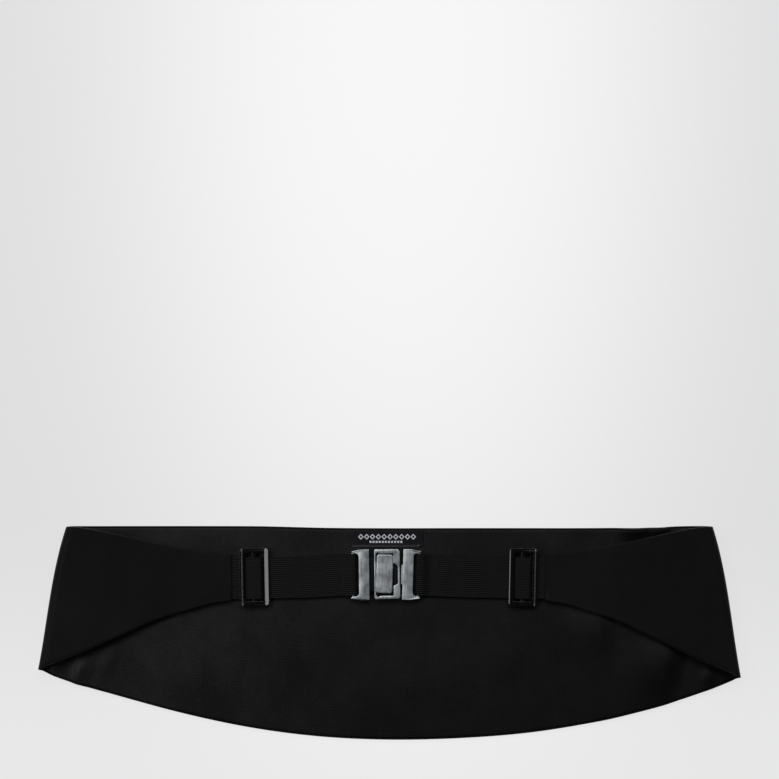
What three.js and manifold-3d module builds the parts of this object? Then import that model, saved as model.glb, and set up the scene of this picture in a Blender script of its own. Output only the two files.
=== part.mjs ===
// A plain satin cummerbund, fastened at the back and laid flat on its face.
// The front panel lies on the table with its lining up, the two wings are folded over it, and an
// elastic strap with a slider on each side and a hook clasp in the middle joins the wings.
// Millimetres. X runs along the waist, Y up the body, Z up from the table. The origin is on the
// table, under the middle of the whole outline.

import * as THREE from "three";
import { mergeVertices } from "three/addons/utils/BufferGeometryUtils.js";
import Module from "manifold-3d";

const wasm = await Module();
wasm.setup();

// Cloth layers
const satinThickness = 1.2;
const liningThickness = 1.0;
const layerGap = 0.3; // between the satin and the lining laid in it
const hemLip = 0.9; // width of the satin turned round the edge, beside the lining
const seamGap = 0.4; // between that turned edge and what lies inside it
const hemRound = 0.4;

// Front panel
const panelWidth = 420.6; // between the two lower corners
const panelHeight = 128; // from the upper corners to the lowest point of the lower edge
const sideFlare = 17; // each upper corner stands this far inside the lower corner
const topSag = 1.3; // dip of the upper edge between its corners
const rippleHeight = 1.5; // highest lift of the panel off the table near the folds

// Side folds
const foldHeight = 14; // over the folded edge, at the upper edge of the cloth
const cornerHeight = 12; // the same at the lower corner, where the fold is pinched
const foldReach = 6.5; // from the folded edge to where the cloth runs flat again
const foldBow = 1.7; // outward curve of the folded edge between its corners
const bowReach = 45; // that curve has died away this far in from the edge

// Elastic strap
const strapWidth = 25;
const strapThickness = 1;
const strapRunLeft = 73; // from the end of the wing to the clasp's strap bar
const strapRunRight = 76;
const strapTail = 6; // end of the strap caught under the end of the wing
const tailGap = 1.4; // between that end and the wing's lining, which is cut on a slant
const strapTilt = THREE.MathUtils.degToRad(1.2); // each strap climbs this much towards the clasp
const restGap = 0.3; // between the lining and what lies on it
const plyGap = 0.25; // between two plies of the strap, and between strap and wing
const metalGap = 0.3; // between the strap and the metal that it runs round

// Sliders
const sliderWidth = 17;
const sliderHeight = 34.4;
const sliderBar = 2.8; // width of the two outer bars
const sliderArm = 2.6; // width of the two ends
const sliderCentreBar = 2.4; // width of the bar that the strap is sewn round
const sliderThickness = 1.6;
const sliderCorner = 2.2;
const sliderOffset = 5; // from the end of the wing to the slider
const centreBarThickness = 1.2;

// Clasp, both halves
const claspX = -2.1; // middle of the clasp, from the middle of the panel
const claspDrop = 28.7; // from the panel's upper corners down to the clasp's centre line
const claspHeight = 30.3;
const strapBarWidth = 1.8;
const strapBarThickness = 1.2;
const keeperLean = THREE.MathUtils.degToRad(-0.5); // turn of each half in its own strap's loop
const hookLean = THREE.MathUtils.degToRad(-0.5);
const strapBarToPost = 3.3; // from the strap bar's middle to the near face of the post
const postWidth = 6.3;
const armRoot = 2.4; // width of an arm where it leaves the post
const armTip = 1.7; // and beside the strap bar
const armFillet = 1.5;
const plateThickness = 1.4;
const webThickness = 1.2;
const slideGap = 0.3; // between the hook's neck and the keeper above it
const softEdge = 0.25; // rounding of the metal's upper edges

// Keeper, the left half, and hook, the right half
const grooveWidth = 2.6; // between the keeper's post and its frame
const keeperWidth = 15.8;
const keeperCorner = 2;
const keeperWall = 0.9; // left side of the frame
const keeperBand = 2.6; // upper and lower sides of the frame
const keeperShoulder = 3.9; // right side of the frame, beside the notch
const keeperBridge = 1.3; // right side of the frame, across the notch
const notchHeight = 13.2;
const webHeight = 20;
const meetGap = 1.6; // between the keeper's frame and the hook's post
const neckHeight = 11.7;
const neckStep = 0.8; // length of the neck that leaves the post at full height
const tongueWidth = 9.4;
const tongueHeight = 22.8;
const tongueSlack = 0.8; // between the tongue and the sides of the keeper's window
const tongueCorner = 1.4;
const riserThickness = 1.3;

// Woven label
const labelWidth = 42.4;
const labelHeight = 9.2;
const labelThickness = 0.8;
const labelX = -1.1;
const labelDrop = 2.9; // from the panel's upper corners down to the label's upper edge

// Edges of the panel from the left fold (-1) to the right fold (1). drop is the lower edge as a
// share of panelHeight, sag the upper edge as a share of topSag, lift the share of rippleHeight.
const panelRows = [
  { at: -1.0, drop: 0.67, sag: 0.0, lift: 0.6 },
  { at: -0.92, drop: 0.724, sag: 0.0, lift: 0.7 },
  { at: -0.8, drop: 0.782, sag: 0.0, lift: 0.25 },
  { at: -0.6, drop: 0.871, sag: 0.0, lift: 0.0 },
  { at: -0.4, drop: 0.942, sag: 0.1, lift: 0.0 },
  { at: -0.2, drop: 0.985, sag: 0.8, lift: 0.0 },
  { at: 0.0, drop: 1.0, sag: 1.0, lift: 0.0 },
  { at: 0.2, drop: 0.993, sag: 0.95, lift: 0.0 },
  { at: 0.4, drop: 0.967, sag: 0.95, lift: 0.0 },
  { at: 0.6, drop: 0.914, sag: 0.95, lift: 0.1 },
  { at: 0.7, drop: 0.875, sag: 0.8, lift: 0.7 },
  { at: 0.8, drop: 0.829, sag: 0.6, lift: 0.2 },
  { at: 0.92, drop: 0.761, sag: 0.0, lift: 1.0 },
  { at: 1.0, drop: 0.707, sag: 0.0, lift: 0.6 },
];

// Edges of a wing from its fold (0) to its end (1), as shares of the way from the fold's corner to
// the end's corner. fall is the share of the height that the wing has come down from the fold.
const wingRows = [
  { at: 0.0, lower: 0.0, upper: 0.0, fall: 0.0 },
  { at: 0.1, lower: 0.105, upper: 0.04, fall: 0.02 },
  { at: 0.25, lower: 0.265, upper: 0.2, fall: 0.12 },
  { at: 0.45, lower: 0.51, upper: 0.47, fall: 0.42 },
  { at: 0.65, lower: 0.745, upper: 0.73, fall: 0.78 },
  { at: 0.85, lower: 0.925, upper: 0.92, fall: 0.98 },
  { at: 0.92, lower: 0.97, upper: 0.97, fall: 1.0 },
  { at: 1.0, lower: 1.0, upper: 1.0, fall: 1.0 },
];

// How finely the cloth is faceted
const wingSteps = 12;
const foldSteps = 12;
const panelSteps = 30;
const acrossSteps = 7;

// Levels, worked out from the layers below
const clothThickness = satinThickness + layerGap + liningThickness;
const topY = panelHeight / 2;
const lowerPly = clothThickness + restGap; // underside of the strap's lower ply
const upperPly = lowerPly + strapThickness + plyGap; // underside of the upper ply, where it is low
const wingEndTop = upperPly + strapThickness + plyGap + satinThickness;
const metalLow = lowerPly + strapThickness + metalGap; // underside of the centre bar and strap bars
const wrapTop = metalLow + centreBarThickness + metalGap + strapThickness;
const sliderLow = upperPly + strapThickness + metalGap;
const plateLow = metalLow + webThickness + slideGap;
const claspTop = plateLow + plateThickness;

// Distances along the strap, from the clasp's centre outwards
const hookReach = strapBarToPost + postWidth; // strap bar to the far face of the post
const keeperReach = hookReach + grooveWidth + keeperWidth;
const barSpan = keeperReach + meetGap + hookReach; // between the two strap bars
const claspY = topY - claspDrop;
const leanRoom = (strapWidth / 2) * Math.sin(Math.max(Math.abs(keeperLean), Math.abs(hookLean)));
const wingEndHeight = strapWidth + 2 * (hemLip + seamGap);

// Small helpers

const lerp = THREE.MathUtils.lerp;

// A smooth value between the rows of a table: a cubic from row to row, with each row's slope taken
// from its two neighbours.
function smoothColumn(rows, column) {
  const slope = (i) => {
    const before = rows[Math.max(i - 1, 0)];
    const after = rows[Math.min(i + 1, rows.length - 1)];
    return (after[column] - before[column]) / (after.at - before.at);
  };
  return (at) => {
    let i = 0;
    while (i < rows.length - 2 && at > rows[i + 1].at) i += 1;
    const span = rows[i + 1].at - rows[i].at;
    const t = (at - rows[i].at) / span;
    const rise = t * t * (3 - 2 * t);
    const leave = t * (1 - t) * (1 - t) * span * slope(i);
    const arrive = t * t * (t - 1) * span * slope(i + 1);
    return lerp(rows[i][column], rows[i + 1][column], rise) + leave + arrive;
  };
}

function toSolid(geometry) {
  const bare = geometry.index ? geometry.toNonIndexed() : geometry.clone();
  bare.deleteAttribute("normal");
  bare.deleteAttribute("uv");
  const merged = mergeVertices(bare, 1e-4);
  const mesh = new wasm.Mesh({
    numProp: 3,
    vertProperties: merged.attributes.position.array,
    triVerts: new Uint32Array(merged.index.array),
  });
  return new wasm.Manifold(mesh);
}

function toGeometry(solid) {
  const mesh = solid.getMesh();
  const geometry = new THREE.BufferGeometry();
  geometry.setAttribute("position", new THREE.BufferAttribute(mesh.vertProperties, 3));
  geometry.setIndex(new THREE.BufferAttribute(mesh.triVerts, 1));
  geometry.computeVertexNormals();
  return geometry;
}

function union(...geometries) {
  return toGeometry(geometries.map(toSolid).reduce((a, b) => a.add(b)));
}

function cut(geometry, ...tools) {
  return toGeometry(tools.map(toSolid).reduce((a, b) => a.subtract(b), toSolid(geometry)));
}

// A plan outline made a plate between two heights, with its upper and lower edges rounded over.
function plate(shape, low, high, edge = softEdge) {
  const settings = {
    depth: high - low - 2 * edge,
    bevelEnabled: edge > 0,
    bevelThickness: edge,
    bevelSize: edge,
    bevelOffset: -edge,
    bevelSegments: edge > 0.2 ? 2 : 1,
    curveSegments: 3,
  };
  return new THREE.ExtrudeGeometry(shape, settings).translate(0, 0, low + edge);
}

// An outline drawn in X and Z, carried along Y for a width centred on the X axis.
function alongY(shape, width) {
  const settings = { depth: width, bevelEnabled: false, curveSegments: 5 };
  return new THREE.ExtrudeGeometry(shape, settings).rotateX(Math.PI / 2).translate(0, width / 2, 0);
}

function roundedBox(x0, y0, x1, y1, radius) {
  const shape = new THREE.Shape();
  shape.moveTo(x0 + radius, y0);
  shape.lineTo(x1 - radius, y0);
  shape.absarc(x1 - radius, y0 + radius, radius, -Math.PI / 2, 0);
  shape.lineTo(x1, y1 - radius);
  shape.absarc(x1 - radius, y1 - radius, radius, 0, Math.PI / 2);
  shape.lineTo(x0 + radius, y1);
  shape.absarc(x0 + radius, y1 - radius, radius, Math.PI / 2, Math.PI);
  shape.lineTo(x0, y0 + radius);
  shape.absarc(x0 + radius, y0 + radius, radius, Math.PI, 1.5 * Math.PI);
  return shape;
}

function block(x0, x1, y0, y1, z0, z1) {
  const box = new THREE.BoxGeometry(x1 - x0, y1 - y0, z1 - z0);
  return box.translate((x0 + x1) / 2, (y0 + y1) / 2, (z0 + z1) / 2);
}

// The cloth surface

const dropAt = smoothColumn(panelRows, "drop");
const sagAt = smoothColumn(panelRows, "sag");
const liftAt = smoothColumn(panelRows, "lift");
const lowerAt = smoothColumn(wingRows, "lower");
const upperAt = smoothColumn(wingRows, "upper");
const fallAt = smoothColumn(wingRows, "fall");

const halfWidth = panelWidth / 2;
const strapRun = (side) => (side < 0 ? strapRunLeft : strapRunRight);

// A point of one half of the fastening: along is measured outwards from the clasp's centre.
function onStrap(side, along, aside) {
  const outward = new THREE.Vector2(side * Math.cos(strapTilt), -Math.sin(strapTilt));
  const upward = new THREE.Vector2(side * Math.sin(strapTilt), Math.cos(strapTilt));
  return new THREE.Vector2(claspX, claspY).addScaledVector(outward, along).addScaledVector(upward, aside);
}

const barAlong = barSpan / 2; // each strap bar, from the clasp's centre
const wingEndAlong = (side) => barAlong + strapRun(side);

// The two edges of the panel at a share of its half width, as points of the plan.
function panelEdges(at) {
  return {
    lower: new THREE.Vector2(at * halfWidth, topY - dropAt(at) * panelHeight),
    upper: new THREE.Vector2(at * (halfWidth - sideFlare), topY - sagAt(at) * topSag),
  };
}

function wingEdges(side, at) {
  const fold = panelEdges(side);
  const endLower = onStrap(side, wingEndAlong(side), -wingEndHeight / 2);
  const endUpper = onStrap(side, wingEndAlong(side), wingEndHeight / 2);
  return {
    lower: new THREE.Vector2(lerp(fold.lower.x, endLower.x, at), lerp(fold.lower.y, endLower.y, lowerAt(at))),
    upper: new THREE.Vector2(lerp(fold.upper.x, endUpper.x, at), lerp(fold.upper.y, endUpper.y, upperAt(at))),
  };
}

const wingLength = (side) => halfWidth - Math.abs(onStrap(side, wingEndAlong(side), 0).x);

// The outer face of the cloth. round goes from the left wing's end (-3) past the left fold (-2 to
// -1), the panel and the right fold (1 to 2) to the right wing's end (3). across goes from the lower
// edge (0) to the upper edge (1).
function clothPoint(round, across) {
  const side = Math.sign(round) || 1;
  const stage = Math.abs(round);
  const height = lerp(cornerHeight, foldHeight, across);
  const turn = (Math.min(Math.max(stage - 1, 0), 1) - 0.5) * Math.PI;
  const inset = foldReach * (1 - Math.cos(turn));
  const onPanel = turn < 0;
  const flat = 1 - foldReach / halfWidth;
  const reach = foldReach / wingLength(side);
  let at = stage <= 1 ? stage * flat : 1 - inset / halfWidth;
  if (!onPanel) at = stage >= 2 ? lerp(reach, 1, stage - 2) : inset / wingLength(side);
  const edges = onPanel ? panelEdges(side * at) : wingEdges(side, at);
  const plan = edges.lower.clone().lerp(edges.upper, across);
  const fromFold = onPanel ? (1 - at) * halfWidth : at * wingLength(side);
  const bowLeft = Math.max(0, 1 - fromFold / bowReach) ** 2;
  plan.x += side * foldBow * bowLeft * 6.75 * across * across * (1 - across);
  let z = (height / 2) * (1 + Math.sin(turn));
  const lift = Math.max(0, onPanel ? liftAt(side * at) : liftAt(side));
  z += lift * rippleHeight * (1 - z / height);
  if (stage > 2) z = lerp(height, wingEndTop, fallAt(stage - 2));
  return new THREE.Vector3(plan.x, plan.y, z);
}

// The same point moved into the cloth, away from its outer face.
function clothInside(round, across, depth) {
  const step = 1e-3;
  const along = clothPoint(round + step, across).sub(clothPoint(round - step, across));
  const over = clothPoint(round, across + step).sub(clothPoint(round, across - step));
  const inward = along.cross(over).normalize();
  return clothPoint(round, across).addScaledVector(inward, depth);
}

function clothLength(round) {
  return clothPoint(round, 0).distanceTo(clothPoint(round, 1));
}

// Where the cloth is cut into facets, between two places round the loop. The satin and the lining
// share these places, so their facets stay parallel.
function clothStations(from, to) {
  const stations = [];
  const add = (start, end, steps) => {
    for (let i = 0; i < steps; i += 1) stations.push(lerp(start, end, i / steps));
  };
  add(-3, -2, wingSteps);
  add(-2, -1, foldSteps);
  add(-1, 1, panelSteps);
  add(1, 2, foldSteps);
  add(2, 3, wingSteps);
  const least = 0.2 / wingSteps;
  return [from, ...stations.filter((round) => round > from + least && round < to - least), to];
}

// A closed band of cloth. sectionOf gives the cross-section for a cloth of that length from edge to
// edge, as points of distance from the lower edge and depth from the outer face, in order round it.
function clothBand(stations, sectionOf) {
  const rings = stations.map((round) => {
    const length = clothLength(round);
    return sectionOf(length).map((p) => clothInside(round, p.x / length, p.y));
  });
  const count = rings[0].length;
  const positions = rings.flat().flatMap((p) => [p.x, p.y, p.z]);
  const faces = [];
  for (let i = 0; i + 1 < rings.length; i += 1) {
    for (let j = 0; j < count; j += 1) {
      const a = i * count + j;
      const b = i * count + ((j + 1) % count);
      faces.push(a, b, b + count, a, b + count, a + count);
    }
  }
  const last = (rings.length - 1) * count;
  const capOf = (round) => THREE.ShapeUtils.triangulateShape(sectionOf(clothLength(round)), []);
  for (const [a, b, c] of capOf(stations[0])) faces.push(a, c, b);
  for (const [a, b, c] of capOf(stations.at(-1))) faces.push(last + a, last + b, last + c);
  const geometry = new THREE.BufferGeometry();
  geometry.setAttribute("position", new THREE.Float32BufferAttribute(positions, 3));
  geometry.setIndex(faces);
  geometry.computeVertexNormals();
  return geometry;
}

// Points evenly spaced across the cloth at one depth, between two distances from the lower edge.
function acrossRow(from, to, depth) {
  const row = [];
  for (let i = 0; i <= acrossSteps; i += 1) row.push(new THREE.Vector2(lerp(from, to, i / acrossSteps), depth));
  return row;
}

// The satin: a thin sheet whose two edges are turned in beside the lining.
function satinSection(length) {
  const point = (distance, depth) => new THREE.Vector2(distance, depth);
  const thick = clothThickness;
  return [
    point(0, thick * 0.65),
    point(0, thick * 0.35),
    ...acrossRow(hemRound, length - hemRound, 0),
    point(length, thick * 0.35),
    point(length, thick * 0.65),
    point(length - hemRound, thick),
    point(length - hemLip, thick),
    ...acrossRow(length - hemLip, hemLip, satinThickness),
    point(hemLip, thick),
    point(hemRound, thick),
  ];
}

function liningSection(length) {
  const edge = hemLip + seamGap;
  return [
    ...acrossRow(edge, length - edge, satinThickness + layerGap),
    ...acrossRow(length - edge, edge, clothThickness),
  ];
}

const outerSatin = () => clothBand(clothStations(-3, 3), satinSection);

// The lining stops short of the wing's end, where the strap's tail takes its place.
function lining() {
  const stop = (side) => 3 - (strapTail + tailGap) / (wingLength(side) - foldReach);
  return clothBand(clothStations(-stop(-1), stop(1)), liningSection);
}

// The strap

// A ribbon of the strap's thickness along a centre line of X and Z points, with its bends rounded.
function ribbon(points, bend) {
  const path = new THREE.Path();
  path.moveTo(...points[0]);
  for (let i = 1; i + 1 < points.length; i += 1) {
    const corner = new THREE.Vector2(...points[i]);
    const before = new THREE.Vector2(...points[i - 1]).sub(corner);
    const after = new THREE.Vector2(...points[i + 1]).sub(corner);
    const reach = Math.min(bend, before.length() / 2, after.length() / 2);
    const enter = corner.clone().addScaledVector(before.normalize(), reach);
    const leave = corner.clone().addScaledVector(after.normalize(), reach);
    path.lineTo(enter.x, enter.y);
    path.quadraticCurveTo(corner.x, corner.y, leave.x, leave.y);
  }
  path.lineTo(...points.at(-1));
  const centre = path.getPoints(4).filter((p, i, all) => i === 0 || p.distanceTo(all[i - 1]) > 1e-6);
  const sideways = centre.map((p, i) => {
    const along = centre[Math.min(i + 1, centre.length - 1)].clone().sub(centre[Math.max(i - 1, 0)]);
    return new THREE.Vector2(-along.y, along.x).normalize().multiplyScalar(strapThickness / 2);
  });
  const left = centre.map((p, i) => p.clone().add(sideways[i]));
  const right = centre.map((p, i) => p.clone().sub(sideways[i]));
  return alongY(new THREE.Shape([...right, ...left.reverse()]), strapWidth);
}

// One strap in its own frame: the clasp's strap bar is at X 0 and the wing lies towards minus X.
// From under the wing it goes through the slider, round the strap bar and back below itself to
// the slider's centre bar, where its end is sewn round the bar.
function strap(run) {
  const middle = strapThickness / 2;
  const slider = -run + sliderOffset + sliderWidth / 2;
  const slotEdge = sliderWidth / 2 - sliderBar; // inner face of an outer bar, from the centre bar
  const humpStart = slotEdge - 0.6;
  const rise = wrapTop + plyGap - upperPly;
  const low = upperPly + middle;
  const high = low + rise;
  const humpTop = Math.max(humpStart - rise, sliderCentreBar / 2 + metalGap + strapThickness);
  const barTop = metalLow + strapBarThickness + metalGap + middle;
  const turnX = strapBarWidth / 2 + leanRoom + metalGap + middle;
  const ply = lowerPly + middle;
  const outerPly = ribbon(
    [
      [-run - strapTail, low],
      [slider - humpStart, low],
      [slider - humpTop, high],
      [slider + humpTop, high],
      [slider + humpStart, low],
      [-6, low],
      [-2.5, barTop],
      [turnX, barTop],
      [turnX, ply],
      [slider - sliderCentreBar / 2, ply],
    ],
    strapBarThickness,
  );
  const room = sliderCentreBar / 2 + metalGap;
  const wrap = roundedBox(
    slider - room - strapThickness,
    lowerPly,
    slider + room + strapThickness,
    wrapTop,
    strapThickness,
  );
  const barHole = roundedBox(
    slider - room,
    lowerPly + strapThickness,
    slider + room,
    wrapTop - strapThickness,
    metalGap,
  );
  wrap.holes.push(barHole);
  return union(outerPly, alongY(wrap, strapWidth));
}

// The slider

// The slider in the strap's frame, centred on X 0: a flat frame with a lowered centre bar.
function slider() {
  const halfHeight = sliderHeight / 2;
  const halfSlider = sliderWidth / 2;
  const outline = roundedBox(-halfSlider, -halfHeight, halfSlider, halfHeight, sliderCorner);
  const inner = sliderCorner / 2;
  const window = roundedBox(
    -halfSlider + sliderBar,
    -halfHeight + sliderArm,
    halfSlider - sliderBar,
    halfHeight - sliderArm,
    inner,
  );
  outline.holes.push(window);
  const frame = plate(outline, sliderLow, sliderLow + sliderThickness, 0.45);
  const bar = roundedBox(
    -sliderCentreBar / 2,
    metalLow,
    sliderCentreBar / 2,
    metalLow + centreBarThickness,
    0.4,
  );
  const reach = halfHeight - sliderArm / 2;
  const lug = (side) =>
    block(
      -sliderCentreBar / 2,
      sliderCentreBar / 2,
      side * reach - sliderArm / 4,
      side * reach + sliderArm / 4,
      metalLow + 0.2,
      sliderLow + sliderThickness / 2,
    );
  return union(frame, alongY(bar, 2 * reach + sliderArm / 2), lug(1), lug(-1));
}

// The clasp

// The end that each half shares, with its strap bar at X 0 and its post towards plus X: the post,
// two arms that slope down and in from it, and the bar that the strap turns round.
function postAndBar() {
  const half = claspHeight / 2;
  const inside = strapWidth / 2 + metalGap + leanRoom / 2;
  const tip = -strapBarWidth / 2 - 0.4;
  const post = strapBarToPost;
  const shape = new THREE.Shape();
  const arm = (y) => {
    shape.lineTo(post, y * half);
    shape.quadraticCurveTo(post / 2, y * half, tip, y * (inside + armTip));
    shape.lineTo(tip, y * inside);
  };
  shape.moveTo(hookReach, -half);
  shape.lineTo(hookReach, half);
  arm(1);
  shape.lineTo(post - armFillet, inside);
  shape.quadraticCurveTo(post, inside, post, half - armRoot - armFillet);
  shape.lineTo(post, -(half - armRoot - armFillet));
  shape.quadraticCurveTo(post, -inside, post - armFillet, -inside);
  shape.lineTo(tip, -inside);
  shape.lineTo(tip, -(inside + armTip));
  shape.quadraticCurveTo(post / 2, -half, post, -half);
  const body = plate(shape, metalLow, claspTop);
  const barTop = metalLow + strapBarThickness;
  const above = new THREE.Shape();
  above.moveTo(post, claspTop);
  above.lineTo(post, claspTop + 1);
  above.lineTo(tip - 1, claspTop + 1);
  above.lineTo(tip - 1, barTop);
  above.lineTo(tip + strapBarWidth, barTop);
  const barShape = roundedBox(-strapBarWidth / 2, metalLow, strapBarWidth / 2, barTop, 0.4);
  return union(cut(body, alongY(above, claspHeight + 2)), alongY(barShape, 2 * inside + armTip));
}

// The left half: behind the post a lower web carries a frame whose window is wide for the tongue
// and has a notch for the neck.
function claspKeeper() {
  const half = claspHeight / 2;
  const left = hookReach + grooveWidth;
  const right = left + keeperWidth;
  const shoulder = right - keeperShoulder;
  const opening = half - keeperBand;
  const notch = notchHeight / 2;
  const frame = new THREE.Shape();
  frame.moveTo(left, -half);
  frame.lineTo(right - keeperCorner / 2, -half);
  frame.quadraticCurveTo(right, -half, right, -half + keeperCorner / 2);
  frame.lineTo(right, half - keeperCorner);
  frame.absarc(right - keeperCorner, half - keeperCorner, keeperCorner, 0, Math.PI / 2);
  frame.lineTo(left + keeperCorner / 2, half);
  frame.quadraticCurveTo(left, half, left, half - keeperCorner / 2);
  const window = new THREE.Path();
  window.moveTo(left + keeperWall, -opening);
  window.lineTo(shoulder, -opening);
  window.lineTo(shoulder, -notch);
  window.lineTo(right - keeperBridge, -notch + 1);
  window.lineTo(right - keeperBridge, notch - 1.4);
  window.lineTo(shoulder + 1, notch);
  window.lineTo(shoulder, notch);
  window.lineTo(shoulder, opening);
  window.lineTo(left + keeperWall, opening);
  frame.holes.push(window);
  const webTop = metalLow + webThickness;
  const web = block(hookReach - 1, left + keeperWall, -webHeight / 2, webHeight / 2, metalLow, webTop);
  const wall = block(left + 0.1, left + keeperWall, -webHeight / 2, webHeight / 2, metalLow, claspTop - softEdge);
  return union(postAndBar(), plate(frame, plateLow, claspTop), web, wall);
}

// The right half: the post carries a low neck that passes under the keeper's frame and rises in
// its notch to the tongue.
function claspHook() {
  const notchSide = hookReach + meetGap + keeperShoulder; // the window's near side, from this end
  const near = notchSide + tongueSlack;
  const tongueShape = roundedBox(near, -tongueHeight / 2, near + tongueWidth, tongueHeight / 2, tongueCorner);
  const tongue = plate(tongueShape, plateLow, claspTop + 0.1, 0.4);
  const neck = neckHeight / 2;
  const webTop = metalLow + webThickness;
  const step = block(hookReach - 1, hookReach + neckStep, -neck, neck, metalLow, claspTop - softEdge);
  const under = block(hookReach - 1, near + riserThickness, -neck, neck, metalLow, webTop);
  const riser = block(near + 0.1, near + riserThickness, -neck, neck, metalLow, claspTop - softEdge);
  return union(postAndBar(), tongue, step, under, riser);
}

// The label

function label() {
  const shape = roundedBox(-labelWidth / 2, -labelHeight / 2, labelWidth / 2, labelHeight / 2, 0.4);
  return plate(shape, clothThickness + restGap, clothThickness + restGap + labelThickness, 0.1);
}

// The assembly

const satin = new THREE.MeshStandardMaterial({ color: 0x131314, roughness: 0.5, metalness: 0 });
const liningSatin = new THREE.MeshStandardMaterial({ color: 0x17171a, roughness: 0.6, metalness: 0 });
const elastic = new THREE.MeshStandardMaterial({ color: 0x141414, roughness: 0.9, metalness: 0 });
const enamel = new THREE.MeshStandardMaterial({ color: 0x0b0b0c, roughness: 0.2, metalness: 0 });
const gunmetal = new THREE.MeshStandardMaterial({ color: 0x7d8386, roughness: 0.35, metalness: 1 });
const weave = new THREE.MeshStandardMaterial({ color: 0x12121a, roughness: 0.9, metalness: 0 });

function named(name, geometry, material) {
  const mesh = new THREE.Mesh(geometry, material);
  mesh.name = name;
  return mesh;
}

function leaning(mesh, lean) {
  mesh.rotation.z = lean;
  return mesh;
}

// One half of the fastening, drawn with its strap bar at X 0 and the clasp's centre towards plus X.
// The right half is the left one turned half round, so nothing is mirrored.
function fastening(side, parts) {
  const place = onStrap(side, barAlong, 0);
  const group = new THREE.Group();
  group.position.set(place.x, place.y, 0);
  group.rotation.z = side < 0 ? strapTilt : Math.PI - strapTilt;
  group.add(...parts);
  return group;
}

function placedSlider(name, run) {
  const mesh = named(name, slider(), enamel);
  mesh.position.x = -run + sliderOffset + sliderWidth / 2;
  return mesh;
}

const sewnLabel = named("label", label(), weave);
sewnLabel.position.set(labelX, topY - labelDrop - labelHeight / 2, 0);

const cummerbund = new THREE.Group();
cummerbund.add(
  named("outer_satin", outerSatin(), satin),
  named("lining", lining(), liningSatin),
  sewnLabel,
  fastening(-1, [
    named("strap_left", strap(strapRunLeft), elastic),
    placedSlider("slider_left", strapRunLeft),
    leaning(named("clasp_keeper", claspKeeper(), gunmetal), keeperLean),
  ]),
  fastening(1, [
    named("strap_right", strap(strapRunRight), elastic),
    placedSlider("slider_right", strapRunRight),
    leaning(named("clasp_hook", claspHook(), gunmetal), hookLean),
  ]),
);

export default cummerbund;
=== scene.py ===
# The looks of a black satin cummerbund that lies fastened and face down.
# Shapes are worked out in millimetres, in the frame's axes, and made metres in makeObject.

import math

import bpy
import numpy as np
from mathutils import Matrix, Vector
from mathutils.geometry import tessellate_polygon


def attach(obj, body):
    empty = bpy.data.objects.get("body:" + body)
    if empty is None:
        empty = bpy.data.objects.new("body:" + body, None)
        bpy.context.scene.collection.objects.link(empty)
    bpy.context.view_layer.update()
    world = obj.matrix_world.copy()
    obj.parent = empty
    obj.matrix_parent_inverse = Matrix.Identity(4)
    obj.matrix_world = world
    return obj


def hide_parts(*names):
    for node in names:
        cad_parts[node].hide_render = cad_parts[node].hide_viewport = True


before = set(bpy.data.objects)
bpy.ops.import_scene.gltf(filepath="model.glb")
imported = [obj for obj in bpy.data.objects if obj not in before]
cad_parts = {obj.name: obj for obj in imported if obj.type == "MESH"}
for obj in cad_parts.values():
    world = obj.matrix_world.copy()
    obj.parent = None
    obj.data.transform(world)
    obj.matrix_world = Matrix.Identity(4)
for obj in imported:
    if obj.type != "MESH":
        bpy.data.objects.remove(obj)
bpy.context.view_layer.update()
print("frame loaded:", len(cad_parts), "nodes")

millimetre = 0.001


# Colours and nodes


def linearColour(hexText):
    # each channel: c / 12.92 for dark ones, else ((c + 0.055) / 1.055) ^ 2.4
    channels = np.array([int(hexText[i : i + 2], 16) for i in (1, 3, 5)]) / 255
    linear = np.where(channels <= 0.04045, channels / 12.92, ((channels + 0.055) / 1.055) ** 2.4)
    return (*linear.tolist(), 1.0)


def addNode(tree, kind, settings=None, values=None, links=None):
    # a node with its settings, its inputs' values and what feeds them, each by name or number
    node = tree.nodes.new(kind)
    for key, value in (settings or {}).items():
        setattr(node, key, value)
    for key, value in (values or {}).items():
        node.inputs[key].default_value = value
    for key, source in (links or {}).items():
        tree.links.new(source, node.inputs[key])
    return node


# each function named after a node makes it and returns the output that is used


def mathNode(tree, operation, first, second):
    # each input is a number or a socket
    node = tree.nodes.new("ShaderNodeMath")
    node.operation = operation
    for index, value in enumerate((first, second)):
        if isinstance(value, (int, float)):
            node.inputs[index].default_value = value
        else:
            tree.links.new(value, node.inputs[index])
    return node.outputs[0]


def sumNode(tree, first, share, second):
    # first * share + second
    node = addNode(
        tree,
        "ShaderNodeMath",
        settings={"operation": "MULTIPLY_ADD"},
        values={1: share},
        links={0: first, 2: second},
    )
    return node.outputs[0]


def mappingNode(tree, place, scale, shift=(0.0, 0.0, 0.0)):
    # the coordinates times scale, plus shift
    values = {"Location": shift, "Scale": scale}
    node = addNode(tree, "ShaderNodeMapping", values=values, links={"Vector": place})
    return node.outputs["Vector"]


def noiseNode(tree, place, scale, detail=2.0, roughness=0.5):
    # detail is how many finer layers the noise has, roughness how strong each one is
    values = {"Scale": scale, "Detail": detail, "Roughness": roughness}
    node = addNode(tree, "ShaderNodeTexNoise", values=values, links={"Vector": place})
    return node.outputs["Fac"]


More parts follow.
